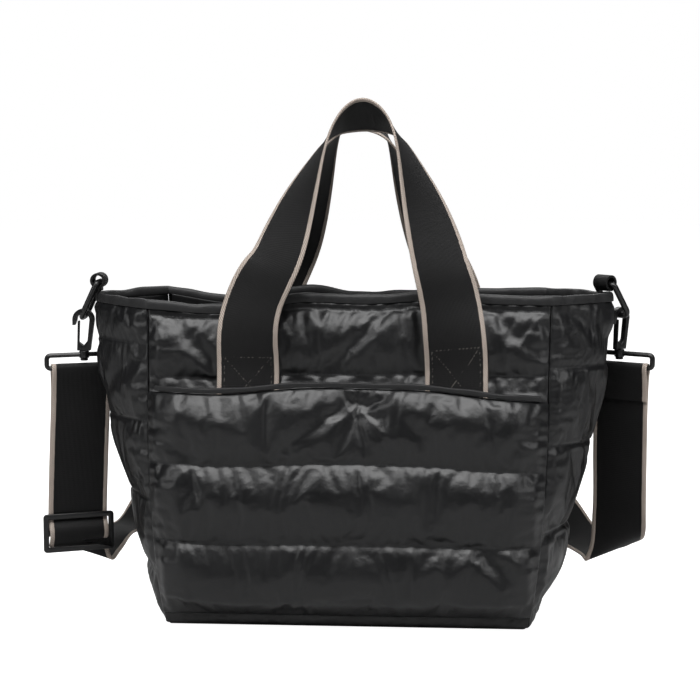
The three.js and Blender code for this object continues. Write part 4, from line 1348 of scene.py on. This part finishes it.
    def make_facing(self, side: Side, node: str) -> None:
        """The gathered strip inside the mouth, on the lining of the front or the back.

        Args:
            side: the wall that it is on.
            node: the CAD node that it stands for.
        """
        columns, rows = 150, 8
        across = np.linspace(0.012, 0.988, columns + 1)
        i, j = np.meshgrid(across, np.linspace(0, 1, rows + 1))
        turn = side.value + i
        share = lerp(FORM.top_share - self.facing_height / FORM.height, FORM.top_share, j)
        out = FORM.normal(turn, share)
        run = i * 2 * FORM.panel_half_width
        gather = 0.35 * waves(run, 61 + side.value, 6, 15) * np.sin(np.pi * j)
        deep = BodyWall.lining + BodyWall.lining_puff + GAP + 0.1
        outer = FORM.point(turn, share) - out * deep
        inner = outer - out * (self.facing_thickness + np.maximum(gather, -0.6))[..., None]
        points = np.concatenate([outer.reshape(-1, 3), inner.reshape(-1, 3)])
        obj = new_mesh_object(f"{node}_strip", points, sheet_faces(columns, rows))
        flat = np.stack([run.ravel(), self.facing_height * j.ravel()], -1) * MM
        write_uv(obj, np.concatenate([flat, flat]))
        subdivide(obj)
        smooth(obj)
        dress(obj, self.tape, "binding_tape", node)

    def make_base(self) -> None:
        """The flat pad under the bag, with a softened edge."""
        obj = merged_copy("base_panel", "base_pad")
        bevel(obj, 2.2, 4)
        points = corners_of(obj)
        write_uv(obj, points[:, :2])
        write_attribute(obj, "seam", np.full(len(points), NO_STITCH))
        smooth(obj, 40)
        dress(obj, self.nylon, "puffer_nylon", "base_panel")


def merged_copy(node: str, name: str) -> Piece:
    """A copy of a CAD node with its loose triangles joined, as a new piece.

    Args:
        node: the CAD node.
        name: the new piece's name.

    Returns:
        The piece.
    """
    obj = bpy.data.objects.new(name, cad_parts[node].data.copy())
    bpy.context.scene.collection.objects.link(obj)
    with editing(obj):
        bpy.ops.mesh.remove_doubles(threshold=0.00002)
        bpy.ops.mesh.dissolve_limited(angle_limit=math.radians(1))
    return obj


# ---------------------------------------------------------------- webbing


@dataclass
class Ribbon:
    """Flat webbing through stations, with a corded edge on each side."""

    name: str
    node: str
    thickness: float
    width: float = 50
    edge: float = 3.7
    edge_bulge: tuple[float, ...] = (0.35, 0.85, 1.06, 0.85, 0.78)
    flat_bulge: float = 0.84
    flat_inset: float = 8
    flat_parts: int = 7

    def profile(self) -> tuple[Array, Array]:
        """The cross-section's corners.

        Returns:
            Their places across the webbing and their heights, in mm.
        """
        half, thick = self.width / 2, self.thickness / 2
        cord = -half + self.edge
        edge = [-half, -half + 0.5, -half + self.edge * 0.5, cord - 0.3, cord + 0.5]
        flat = np.linspace(-half + self.flat_inset, half - self.flat_inset, self.flat_parts)
        wide = np.array([*edge, *flat, *(-p for p in reversed(edge))])
        flat_bulge = [self.flat_bulge] * self.flat_parts
        deep = np.array([*self.edge_bulge, *flat_bulge, *reversed(self.edge_bulge)]) * thick
        return np.r_[wide, wide[::-1]], np.r_[deep, -deep[::-1]]

    def build(
        self,
        at: Array,
        across: Array,
        material: Material,
        sewn: Optional[tuple[float, float]] = None,
    ) -> Piece:
        """Make the ribbon.

        Args:
            at: the middle of the webbing at each station.
            across: the direction of its width there.
            material: its finish.
            sewn: the lengths that are sewn down at its start and at its end, if any are.

        Returns:
            The dressed piece.
        """
        along = np.empty_like(at)
        along[1:-1] = at[2:] - at[:-2]
        along[0], along[-1] = at[1] - at[0], at[-1] - at[-2]
        out = unit(np.cross(unit(along), across))
        run = np.r_[0, np.cumsum(np.linalg.norm(np.diff(at, axis=0), axis=1))]
        log.info("%s: %.0f mm of webbing", self.name, run[-1])
        wide, deep = self.profile()
        count, sides = len(at), len(wide)
        spread, rise = wide[None, :, None], deep[None, :, None]
        points = at[:, None] + across[:, None] * spread + out[:, None] * rise
        faces = ring_faces(count, sides, closed=False)
        for end, turned in ((0, False), ((count - 1) * sides, True)):
            for k in range(sides // 2 - 1):
                quad = (end + k, end + k + 1, end + sides - 2 - k, end + sides - 1 - k)
                faces.append(tuple(reversed(quad)) if turned else quad)
        obj = new_mesh_object(self.name, points.reshape(-1, 3), faces)
        uv = np.stack([np.repeat(run, sides), np.tile(wide, count)], -1)
        write_uv(obj, uv * MM)
        ups = np.full(count, NO_STITCH)
        if sewn:
            ups = np.minimum(run / sewn[0], (run[-1] - run) / sewn[1])
        write_attribute(obj, "sewn", np.repeat(ups, sides))
        smooth(obj, 50)
        dress(obj, material, "webbing", self.node)
        return obj


HANDLE_LEG = rows_of(
    "way rise lean half out turn dip square",
    (0, -0.34, -0.1, 0.99, 0, 0, 0, 1),
    (0.118, -0.17, -0.28, 0.98, 0.22, 11, 0, 1),
    (0.202, -0.05, -0.14, 0.94, 0.39, 20, 0, 1),
    (0.276, 0.05, 0.2, 0.85, 0.5, 26, 0, 1),
    (0.343, 0.14, 0.48, 0.765, 0.5, 28, 0, 1),
    (0.4, 0.22, 0.62, 0.705, 0.43, 29, 0, 1),
    (0.5, 0.36, 0.66, 0.63, 0.28, 37, 0, 1),
    (0.612, 0.52, 0.7, 0.565, 0.12, 51, 0, 1),
    (0.752, 0.72, 0.82, 0.495, 0, 74, 3, 0.9),
    (0.83, 0.83, 0.93, 0.43, -0.05, 83, 10, 0.6),
    (0.896, 0.915, 1, 0.325, -0.1, 88, 20, 0.3),
    (0.945, 0.97, 0.97, 0.195, -0.14, 90, 29, 0.1),
    (1, 1, 0.95, 0, -0.16, 90, 33, 0),
    (1.055, 0.97, 0.93, -0.195, -0.14, 90, 29, 0.1),
)


@dataclass
class Handle:
    """One webbing handle, from its left sewn end over the top to its right one."""

    name: str
    node: str
    side: Side
    middle: float
    lean: float
    height: float
    narrowing: float
    dipping: float
    half_gap: float = 59
    foot: float = 176
    width: float = 50
    thickness: float = 2
    softness: int = 18
    sewn: tuple[float, float] = (43, 51)
    foot_way: float = 0.25
    narrow_top: float = 0.7
    least_padding: float = 1.3
    probes_across: tuple[float, ...] = (-0.55, -0.25, 0, 0.25, 0.55)
    probes_up: tuple[float, ...] = (-7, 0, 7)

    def wall_reach(self, x: float, height: Array) -> Array:
        """How far from the middle the wall and its binding reach, across the webbing's width.

        Args:
            x: the webbing's middle.
            height: the heights.

        Returns:
            The distances in mm.
        """
        channels = BACK_CHANNELS if self.side is Side.BACK else PANEL_CHANNELS
        reach = np.zeros(len(height))
        for k in self.probes_across:
            across = min(max(0.5 + (x + k * self.width) / (2 * FORM.panel_half_width), 0), 1)
            turn = across if self.side is Side.FRONT else self.side.value + 1 - across
            for step in self.probes_up:
                share = np.clip((height + step) / FORM.height, 0, FORM.top_share)
                padding = np.maximum(channel_puff(channels, share), self.least_padding)
                reach = np.maximum(reach, np.abs(FORM.point(turn, share)[..., 1]) + padding)
        return reach

    def leg(self, sign: int, way: Array) -> tuple[Array, Array, Array]:
        """One leg of the handle.

        Args:
            sign: -1 for the left leg and 1 for the right.
            way: shares of the way up, below 0 on the sewn end.

        Returns:
            Its inner edge, the direction of its width, and how square that stays.
        """
        face = self.side.value - 1
        up = np.clip(way, 0, 1)
        columns = {name: from_table(HANDLE_LEG, "way", up, name) for name in HANDLE_LEG[0]}
        low = HANDLE_LEG[0]["rise"]
        start = (self.foot - FORM.height) / self.height
        rise = np.where(way < 0, lerp(low, start, -way / self.foot_way), columns["rise"])
        level = FORM.height + rise * self.height
        foot_x = self.middle + sign * (self.half_gap + self.width / 2)
        reach = self.wall_reach(foot_x, np.minimum(level, FORM.height)) + GAP + self.thickness / 2
        turn, dip = np.radians(columns["turn"]), np.radians(columns["dip"] * self.dipping)
        half = self.half_gap * columns["half"] * (1 - self.narrowing * smoothstep(rise, low, self.narrow_top))
        x = self.middle + self.lean * columns["lean"] + sign * half
        edge = np.stack([x, face * (reach + columns["out"] * self.width), level], -1)
        wide = np.stack(
            [sign * np.cos(turn) * np.cos(dip), -face * np.sin(turn) * np.cos(dip), -np.sin(dip)], -1
        )
        return edge, wide, columns["square"]

    def make(self, material: Material) -> Piece:
        """Build the handle.

        Args:
            material: the webbing's finish.

        Returns:
            The dressed piece.
        """
        way = np.concatenate([np.linspace(-self.foot_way, 0, 12)[:-1], np.linspace(0, 1, 90)])
        legs = [self.leg(sign, way) for sign in (-1, 1)]
        edge, wide, square = (np.concatenate([legs[0][k], legs[1][k][::-1][1:]]) for k in range(3))
        edge = relaxed(edge, self.softness)
        along = unit(np.gradient(edge, axis=0))
        dot = np.einsum("ij,ij->i", wide, along)
        across = unit(wide - along * (square * dot)[:, None])
        across = unit(relaxed(across, self.softness))
        ribbon = Ribbon(self.name, self.node, self.thickness, self.width)
        at = edge + across * self.width / 2
        return ribbon.build(at, across, material, self.sewn)


def relaxed(points: Array, rounds: int) -> Array:
    """A path smoothed a few times, with its ends kept.

    Args:
        points: the path.
        rounds: how many times it is smoothed.

    Returns:
        The smoothed path.
    """
    for _ in range(rounds):
        inner = (points[:-2] + 2 * points[1:-1] + points[2:]) / 4
        points = np.concatenate([points[:1], inner, points[-1:]])
    return points


# ---------------------------------------------------------------- side hardware


@dataclass(frozen=True)
class SideFittings:
    """Where one side's tab, ring, hook and strap loop hang, as seen from the front."""

    name: str
    sign: int
    tab_out: float
    tab_back: float
    tab_rise: float
    turn: float
    loop_turn: float
    loop_shift: float
    bar: float
    tab_radius: float = 6.4
    tab_thickness: float = 2
    tab_width: float = 15
    ring_wire: float = 2.5
    ring_corner: float = 2.8
    ring_bend: float = 7
    ring_height: float = 32.3
    ring_play: float = 0.4
    hook_height: float = 35.4
    hook_top: float = 9.3
    hook_eye: float = 5.3
    boss_half: float = 3
    loop_wire: float = 2.2
    loop_spacing: float = 11
    loop_corner: float = 3.2

    def places(self) -> dict[str, Array]:
        """The middle of each fitting and its directions, worked out downwards from the tab.

        Returns:
            The places and directions by name.
        """
        out = self.sign * direction(self.turn)
        axis = np.cross((0, 0, 1), out)
        across = 0.5 + self.tab_back / (2 * FORM.mouth_half_depth)
        edge = FORM.point(1 + across if self.sign > 0 else 4 - across, FORM.top_share)
        tab = np.array([edge[0] + self.sign * self.tab_out, edge[1], FORM.height + self.tab_rise])
        ring_top = tab - (0, 0, self.tab_radius - self.tab_thickness - self.ring_wire - GAP)
        foot = self.bar + self.boss_half + GAP
        ring_low = foot + self.hook_height - self.hook_top + self.hook_eye - self.ring_wire - GAP
        drop = ring_top[2] - ring_low
        swing = math.sqrt(max(self.ring_height**2 - drop**2, 0))
        hang = (out * swing - np.array((0, 0, drop))) / self.ring_height
        hook = ring_top + hang * self.ring_height
        hook[2] = self.bar
        wide = direction(self.loop_turn)
        loop = hook + wide * self.loop_shift
        return {"axis": axis, "ring_top": ring_top, "hang": hang, "wide": wide, "loop": loop}


def direction(degrees: float) -> Array:
    """A level direction, turned from +X."""
    return np.array([math.cos(math.radians(degrees)), math.sin(math.radians(degrees)), 0.0])


LEFT = SideFittings("left", -1, 1.5, 4, 8, 0, 24, -3.2, 211.3)
RIGHT = SideFittings("right", 1, 0.5, 9, 8, 42, -31, 1.8, 214)


@dataclass
class Hardware:
    """The tabs, rings, hooks, strap loops and slider."""

    plastic: Material
    cloth: Material

    def wire(self, name: str, path: Array, axis: Array, radius: float) -> Piece:
        """A closed loop of round wire along a flat path.

        Args:
            name: the piece's name.
            path: the wire's middle line, in mm.
            axis: the path's upright direction.
            radius: the wire's radius.

        Returns:
            The object.
        """
        sides = 14
        along = unit(np.roll(path, -1, 0) - np.roll(path, 1, 0))
        side = unit(np.cross(along, axis))
        angles = np.arange(sides) / sides * 2 * math.pi
        points = (
            path[:, None]
            + side[:, None] * (radius * np.cos(angles))[None, :, None]
            - np.asarray(axis)[None, None] * (radius * np.sin(angles))[None, :, None]
        )
        faces = ring_faces(len(path), sides, closed=True)
        obj = new_mesh_object(name, points.reshape(-1, 3), faces)
        with editing(obj):
            bpy.ops.mesh.normals_make_consistent(inside=False)
        smooth(obj)
        return obj

    def rounded_path(
        self, side: SideFittings, centre: Array, wide: Array, high: Array, width: float
    ) -> Array:
        """The middle line of a ring, as a rounded rectangle.

        Args:
            side: the side that the ring is on.
            centre: the ring's middle.
            wide: the direction of its width.
            high: the direction of its height.
            width: its width in mm.

        Returns:
            The line's points.
        """
        path = []
        for sx, sy, start, corner in (
            (1, -1, -90, side.ring_bend),
            (1, 1, 0, side.ring_corner),
            (-1, 1, 90, side.ring_corner),
            (-1, -1, 180, side.ring_bend),
        ):
            for k in range(9):
                angle = math.radians(start + 90 * k / 8)
                u = sx * (width / 2 - corner) + corner * math.cos(angle)
                v = sy * (side.ring_height / 2 - corner) + corner * math.sin(angle)
                path.append(centre + wide * u + high * v)
        return np.array(path)

    def make_ring(self, side: SideFittings) -> None:
        """The moulded ring in a tab.

        Args:
            side: the side that it hangs on.
        """
        p = side.places()
        centre = p["ring_top"] + p["hang"] * side.ring_height / 2
        width = side.tab_width + 2 * (side.ring_wire + GAP) + side.ring_play
        high = -p["hang"]
        path = self.rounded_path(side, centre, p["axis"], high, width)
        axis = unit(np.cross(p["axis"], high))
        obj = self.wire(f"{side.name}_ring_moulding", path, axis, side.ring_wire)
        dress(obj, self.plastic, "hardware", f"{side.name}_ring")

    def make_moulded(
        self, node: str, name: str, soft: float, material: Material, slot: str
    ) -> None:
        """A fitting with its real moulded edges: the CAD solid's shape, rounded.

        Args:
            node: the CAD node that it stands for.
            name: the piece's name.
            soft: the width of its rounded edges, in mm.
            material: its finish.
            slot: the finish's slot.
        """
        obj = merged_copy(node, name)
        bevel(obj, soft, 3, 35)
        write_uv(obj, corners_of(obj)[:, [1, 2]])
        smooth(obj, 40)
        dress(obj, material, slot, node)

    def make_all(self) -> None:
        """Make every fitting of both sides, and the slider."""
        plastic, cloth = (self.plastic, "hardware"), (self.cloth, "webbing")
        for side in (LEFT, RIGHT):
            self.make_ring(side)
            n = side.name
            self.make_moulded(f"{n}_snap_hook", f"{n}_hook_moulding", 0.7, *plastic)
            self.make_moulded(f"{n}_strap_loop", f"{n}_loop_moulding", 0.4, *plastic)
            self.make_moulded(f"{n}_tab", f"{n}_tab_webbing", 0.5, *cloth)
        self.make_moulded("strap_slider", "slider_moulding", 0.8, *plastic)
        self.make_moulded("pocket_snap", "snap_moulding", 0.5, *plastic)


# ---------------------------------------------------------------- shoulder strap


@dataclass
class ShoulderStrap:
    """One length of webbing: sewn at the slider, over the left loop, round behind, up to the right."""

    width: float = 50
    thickness: float = 1.6
    slider_height: float = 33
    slider_bar: float = 4.6
    slider_thickness: float = 2.6
    slider_middle: float = 60
    slider_out: float = 4
    slider_depth: float = -1.2
    tail: float = 28
    bar_play: float = 0.6
    frame_play: float = 0.4
    slack: float = 0.6
    station: float = 3.0
    left_turn: tuple[Pair, ...] = (
        ((-256, 12, 49), (-206.9, 14, 33.2)),
        ((-245, 48, 51), (-201.8, 24, 38.1)),
        ((-223.4, 76.5, 50), (-194.3, 36, 50.6)),
        ((-213.8, 91, 54.6), (-188.9, 50, 51.3)),
        ((-199, 95, 76), (-181, 64, 49)),
        ((-178, 93, 98), (-172, 76, 50)),
    )
    behind: tuple[Pair, ...] = (
        ((-154, 88, 102), (-154, 84, 52)),
        ((-107, 94.5, 106), (-107, 94, 56)),
        ((-42.8, 96, 107.5), (-42.8, 95.6, 57.5)),
        ((42.8, 96, 107.5), (42.8, 95.6, 57.5)),
        ((107, 94.5, 106), (107, 94, 56)),
        ((154, 88, 102), (154, 84, 52)),
    )
    right_turn: tuple[Pair, ...] = (
        ((165, 92, 98), (163, 80, 50)),
        ((186, 97, 78), (173.4, 70, 45.3)),
        ((206.2, 96, 51.8), (183.3, 58, 40.9)),
        ((226, 82, 36.5), (193.1, 46, 36.7)),
        ((237, 55, 45), (200.4, 37, 34.4)),
        ((244.5, 18, 60), (202.2, 34, 47.3)),
    )

    def over_bar(self, bar: float) -> list[Point]:
        """The half turn over a strap loop's lower bar.

        Args:
            bar: the height of the loop's upper bar.

        Returns:
            Each station's height, depth and shift outwards.
        """
        bend = LEFT.loop_wire + GAP + self.thickness / 2
        low = bar - LEFT.loop_spacing
        angles = [math.radians(a) for a in (0, 45, 90, 135, 180)]
        return [(low + bend * math.sin(a), bend * math.cos(a), 0) for a in angles]

    def hung(
        self, rows: Sequence[Point], side: SideFittings, place: dict[str, Array]
    ) -> list[tuple[Array, Array]]:
        """The stations of one hanging fall.

        Args:
            rows: each station's height, depth and shift outwards.
            side: the side that it hangs on.
            place: that side's places.

        Returns:
            A point on each edge of the webbing, for each station.
        """
        depth_way = np.cross((0, 0, 1), place["wide"])
        reach = -side.sign * place["wide"] * self.width / 2
        pairs = []
        for height, depth, shift in rows:
            point = place["loop"] + place["wide"] * side.sign * shift + depth_way * depth
            point[2] = height
            pairs.append((point - reach, point + reach))
        return pairs

    def edges(self) -> Array:
        """The strap's whole course.

        Returns:
            A point on each of its two edges, for each station.
        """
        left, right = LEFT.places(), RIGHT.places()
        reach = self.slider_thickness / 2 + GAP + self.thickness / 2
        after, before = self.slider_depth + reach, self.slider_depth - reach
        layer = self.thickness + GAP
        inside = self.slider_bar / 2 + self.bar_play
        outside = self.slider_height / 2 - self.slider_bar - self.frame_play
        clear = self.slider_height / 2 + 1
        spacing, out, s = LEFT.loop_spacing, self.slider_out, self.slider_middle
        l, r = left["loop"][2] - spacing, right["loop"][2] - spacing
        left_rows = [
            (s - inside, after, out),
            (s + inside, after, out),
            (s + outside - 0.5, after + layer, out),
            (s + clear, after + layer, out),
            (lerp(s, l, 0.5), after + layer, out / 2),
            (l - 2 * spacing, layer + 0.8, 0),
            *self.over_bar(left["loop"][2]),
            (l - 2 * spacing, -self.slack, 0),
            (lerp(s, l, 0.5), after - self.slack, out / 2),
            (s + clear, after, out),
            (s + outside, after, out),
            (s + inside, before, out),
            (s - inside, before, out),
            (s - outside, after, out),
        ]
        right_rows = [
            (s + clear, self.slack, 0),
            (lerp(s, r, 0.5), 0, 0),
            (r - self.tail, 0.4, 0),
            (r - self.tail / 3, 1.8, 0),
            *self.over_bar(right["loop"][2]),
            (r - self.tail / 3, -layer - self.slack, 0),
            (r - self.tail, 0.4 - layer, 0),
        ]
        turns = (*self.left_turn, *self.behind, *self.right_turn)
        hung = self.hung(left_rows, LEFT, left), self.hung(right_rows, RIGHT, right)
        return np.array([*hung[0], *turns, *hung[1]], float)

    def make(self, material: Material) -> Piece:
        """Build the strap.

        Args:
            material: the webbing's finish.

        Returns:
            The dressed piece.
        """
        edges = rounded_curve(self.edges(), self.station)
        ribbon = Ribbon("shoulder_webbing", "shoulder_strap", self.thickness, self.width)
        return ribbon.build(edges.mean(1), unit(edges[:, 1] - edges[:, 0]), material)


def rounded_curve(edges: Array, longest: float) -> Array:
    """Smooth curves through the two edges' points.

    Args:
        edges: a pair of points for each station, one on each edge.
        longest: the most distance between the new stations, in mm.

    Returns:
        The new stations' pairs of points.
    """
    rows = np.concatenate([[2 * edges[0] - edges[1]], edges, [2 * edges[-1] - edges[-2]]])
    middle = rows.mean(1)
    found = []
    for i in range(len(edges) - 1):
        p0, p1, p2, p3 = rows[i : i + 4]
        gaps = np.linalg.norm(np.diff(middle[i : i + 4], axis=0), axis=1)
        d0, d1, d2 = np.sqrt(np.maximum(gaps, 0.1))
        t1 = ((p1 - p0) / d0 - (p2 - p0) / (d0 + d1) + (p2 - p1) / d1) * d1
        t2 = ((p2 - p1) / d1 - (p3 - p1) / (d1 + d2) + (p3 - p2) / d2) * d1
        parts = max(2, math.ceil(np.linalg.norm(p2 - p1, axis=-1).max() / longest))
        for t in np.arange(parts) / parts:
            h = (2 * t**3 - 3 * t**2 + 1, t**3 - 2 * t**2 + t, 3 * t**2 - 2 * t**3, t**3 - t**2)
            found.append(h[0] * p1 + h[1] * t1 + h[2] * p2 + h[3] * t2)
    return np.array([*found, edges[-1]])


# ---------------------------------------------------------------- studio


@dataclass(frozen=True)
class Lamp:
    """A soft rectangular light: its place and size in metres, and its power in watts."""

    name: str
    place: Point
    size: tuple[float, float]
    power: float


LAMPS = (
    Lamp("above", (0, -0.85, 2.0), (2.2, 1.4), 62),
    Lamp("left", (-1.7, -1.1, 1.1), (0.7, 1.4), 9),
    Lamp("right", (1.7, -0.9, 1.2), (0.7, 1.4), 9),
    Lamp("behind", (0, 1.6, 1.7), (2.0, 0.9), 22),
)


@dataclass
class Studio:
    """A plain pale floor, soft lights from above and in front, and the camera."""

    target: Point = (-2, 0, 217)
    distance: float = 1600
    azimuth: float = 4.0
    elevation: float = 6.5
    pixels_per_tangent: float = 1920.8
    frame_pixels: float = 700
    lit_place: Point = (0, 0, 0.17)
    room_light: float = 0.05
    floor_glow: float = 0.965

    def make_floor(self) -> None:
        """A wide pale floor that looks as pale as the world."""
        bpy.ops.object.select_all(action="DESELECT")
        bpy.ops.mesh.primitive_plane_add(size=14, location=(0, 0, 0))
        floor = bpy.context.active_object
        floor.name = "floor"
        floor.data.transform(Matrix.Translation((0, 0, -0.0004)))
        n = Nodes("pale_floor")
        n.shader.inputs["Base Color"].default_value = (0.5, 0.5, 0.5, 1)
        n.shader.inputs["Roughness"].default_value = 0.8
        seen = n.add("ShaderNodeLightPath").outputs["Is Camera Ray"]
        n.shader.inputs["Emission Color"].default_value = (1, 1, 1, 1)
        n.link(n.math("MULTIPLY", seen, self.floor_glow), n.shader.inputs["Emission Strength"])
        floor.data.materials.append(n.material)

    def make_lights(self) -> None:
        """The lights, and a world that is pale to the camera and dim to the bag."""
        for lamp in LAMPS:
            light = bpy.data.lights.new(lamp.name, "AREA")
            light.shape, (light.size, light.size_y) = "RECTANGLE", lamp.size
            light.energy = lamp.power
            obj = bpy.data.objects.new(lamp.name, light)
            bpy.context.scene.collection.objects.link(obj)
            obj.location = lamp.place
            towards = Vector(self.lit_place) - obj.location
            obj.rotation_euler = towards.to_track_quat("-Z", "Y").to_euler()
        world = bpy.data.worlds.new("pale")
        world.use_nodes = True
        tree = world.node_tree
        background = tree.nodes["Background"]
        background.inputs["Color"].default_value = (1, 1, 1, 1)
        path = tree.nodes.new("ShaderNodeLightPath")
        strength = tree.nodes.new("ShaderNodeMapRange")
        strength.inputs["To Min"].default_value = self.room_light
        strength.inputs["To Max"].default_value = 1.0
        tree.links.new(path.outputs["Is Camera Ray"], strength.inputs["Value"])
        tree.links.new(strength.outputs["Result"], background.inputs["Strength"])
        bpy.context.scene.world = world

    def make_camera(self) -> None:
        """The camera at the photograph's angle."""
        turn, rise = math.radians(self.azimuth), math.radians(self.elevation)
        level = math.cos(rise)
        away = Vector((math.sin(turn) * level, -math.cos(turn) * level, math.sin(rise)))
        target = Vector(self.target) * MM
        camera = bpy.data.cameras.new("camera")
        camera.sensor_width = 36
        camera.lens = self.pixels_per_tangent / self.frame_pixels * camera.sensor_width
        camera.clip_end = 50
        obj = bpy.data.objects.new("camera", camera)
        obj.location = target + away * self.distance * MM
        obj.rotation_euler = (-away).to_track_quat("-Z", "Y").to_euler()
        bpy.context.scene.collection.objects.link(obj)
        bpy.context.scene.camera = obj

    def make(self) -> None:
        """Set the whole studio up."""
        self.make_floor()
        self.make_lights()
        self.make_camera()
        bpy.context.scene.view_settings.view_transform = "Standard"


def main() -> None:
    """Build and dress every sub-assembly in order."""
    logging.basicConfig(level=logging.INFO, format="%(name)s: %(message)s")
    Studio().make()
    nylon, tape = PufferNylon().make(), BindingTape().make()
    webbing, plastic = EdgedWebbing().make(), MouldedPlastic().make()
    plain = EdgedWebbing(name="plain_webbing", striped=False).make()
    body = Body(nylon, tape)
    body.make_walls()
    body.make_mouth_binding()
    body.make_pocket_binding()
    body.make_facing(Side.FRONT, "front_facing")
    body.make_facing(Side.BACK, "back_facing")
    body.make_base()
    Handle("front_handle_webbing", "front_handle", Side.FRONT, 5, 6.5, 160, 0, 1).make(webbing)
    Handle("back_handle_webbing", "back_handle", Side.BACK, 5, 0.5, 156, 0.2, 0.8).make(webbing)
    Hardware(plastic, plain).make_all()
    ShoulderStrap().make(webbing)


if __name__ == "__main__":
    main()
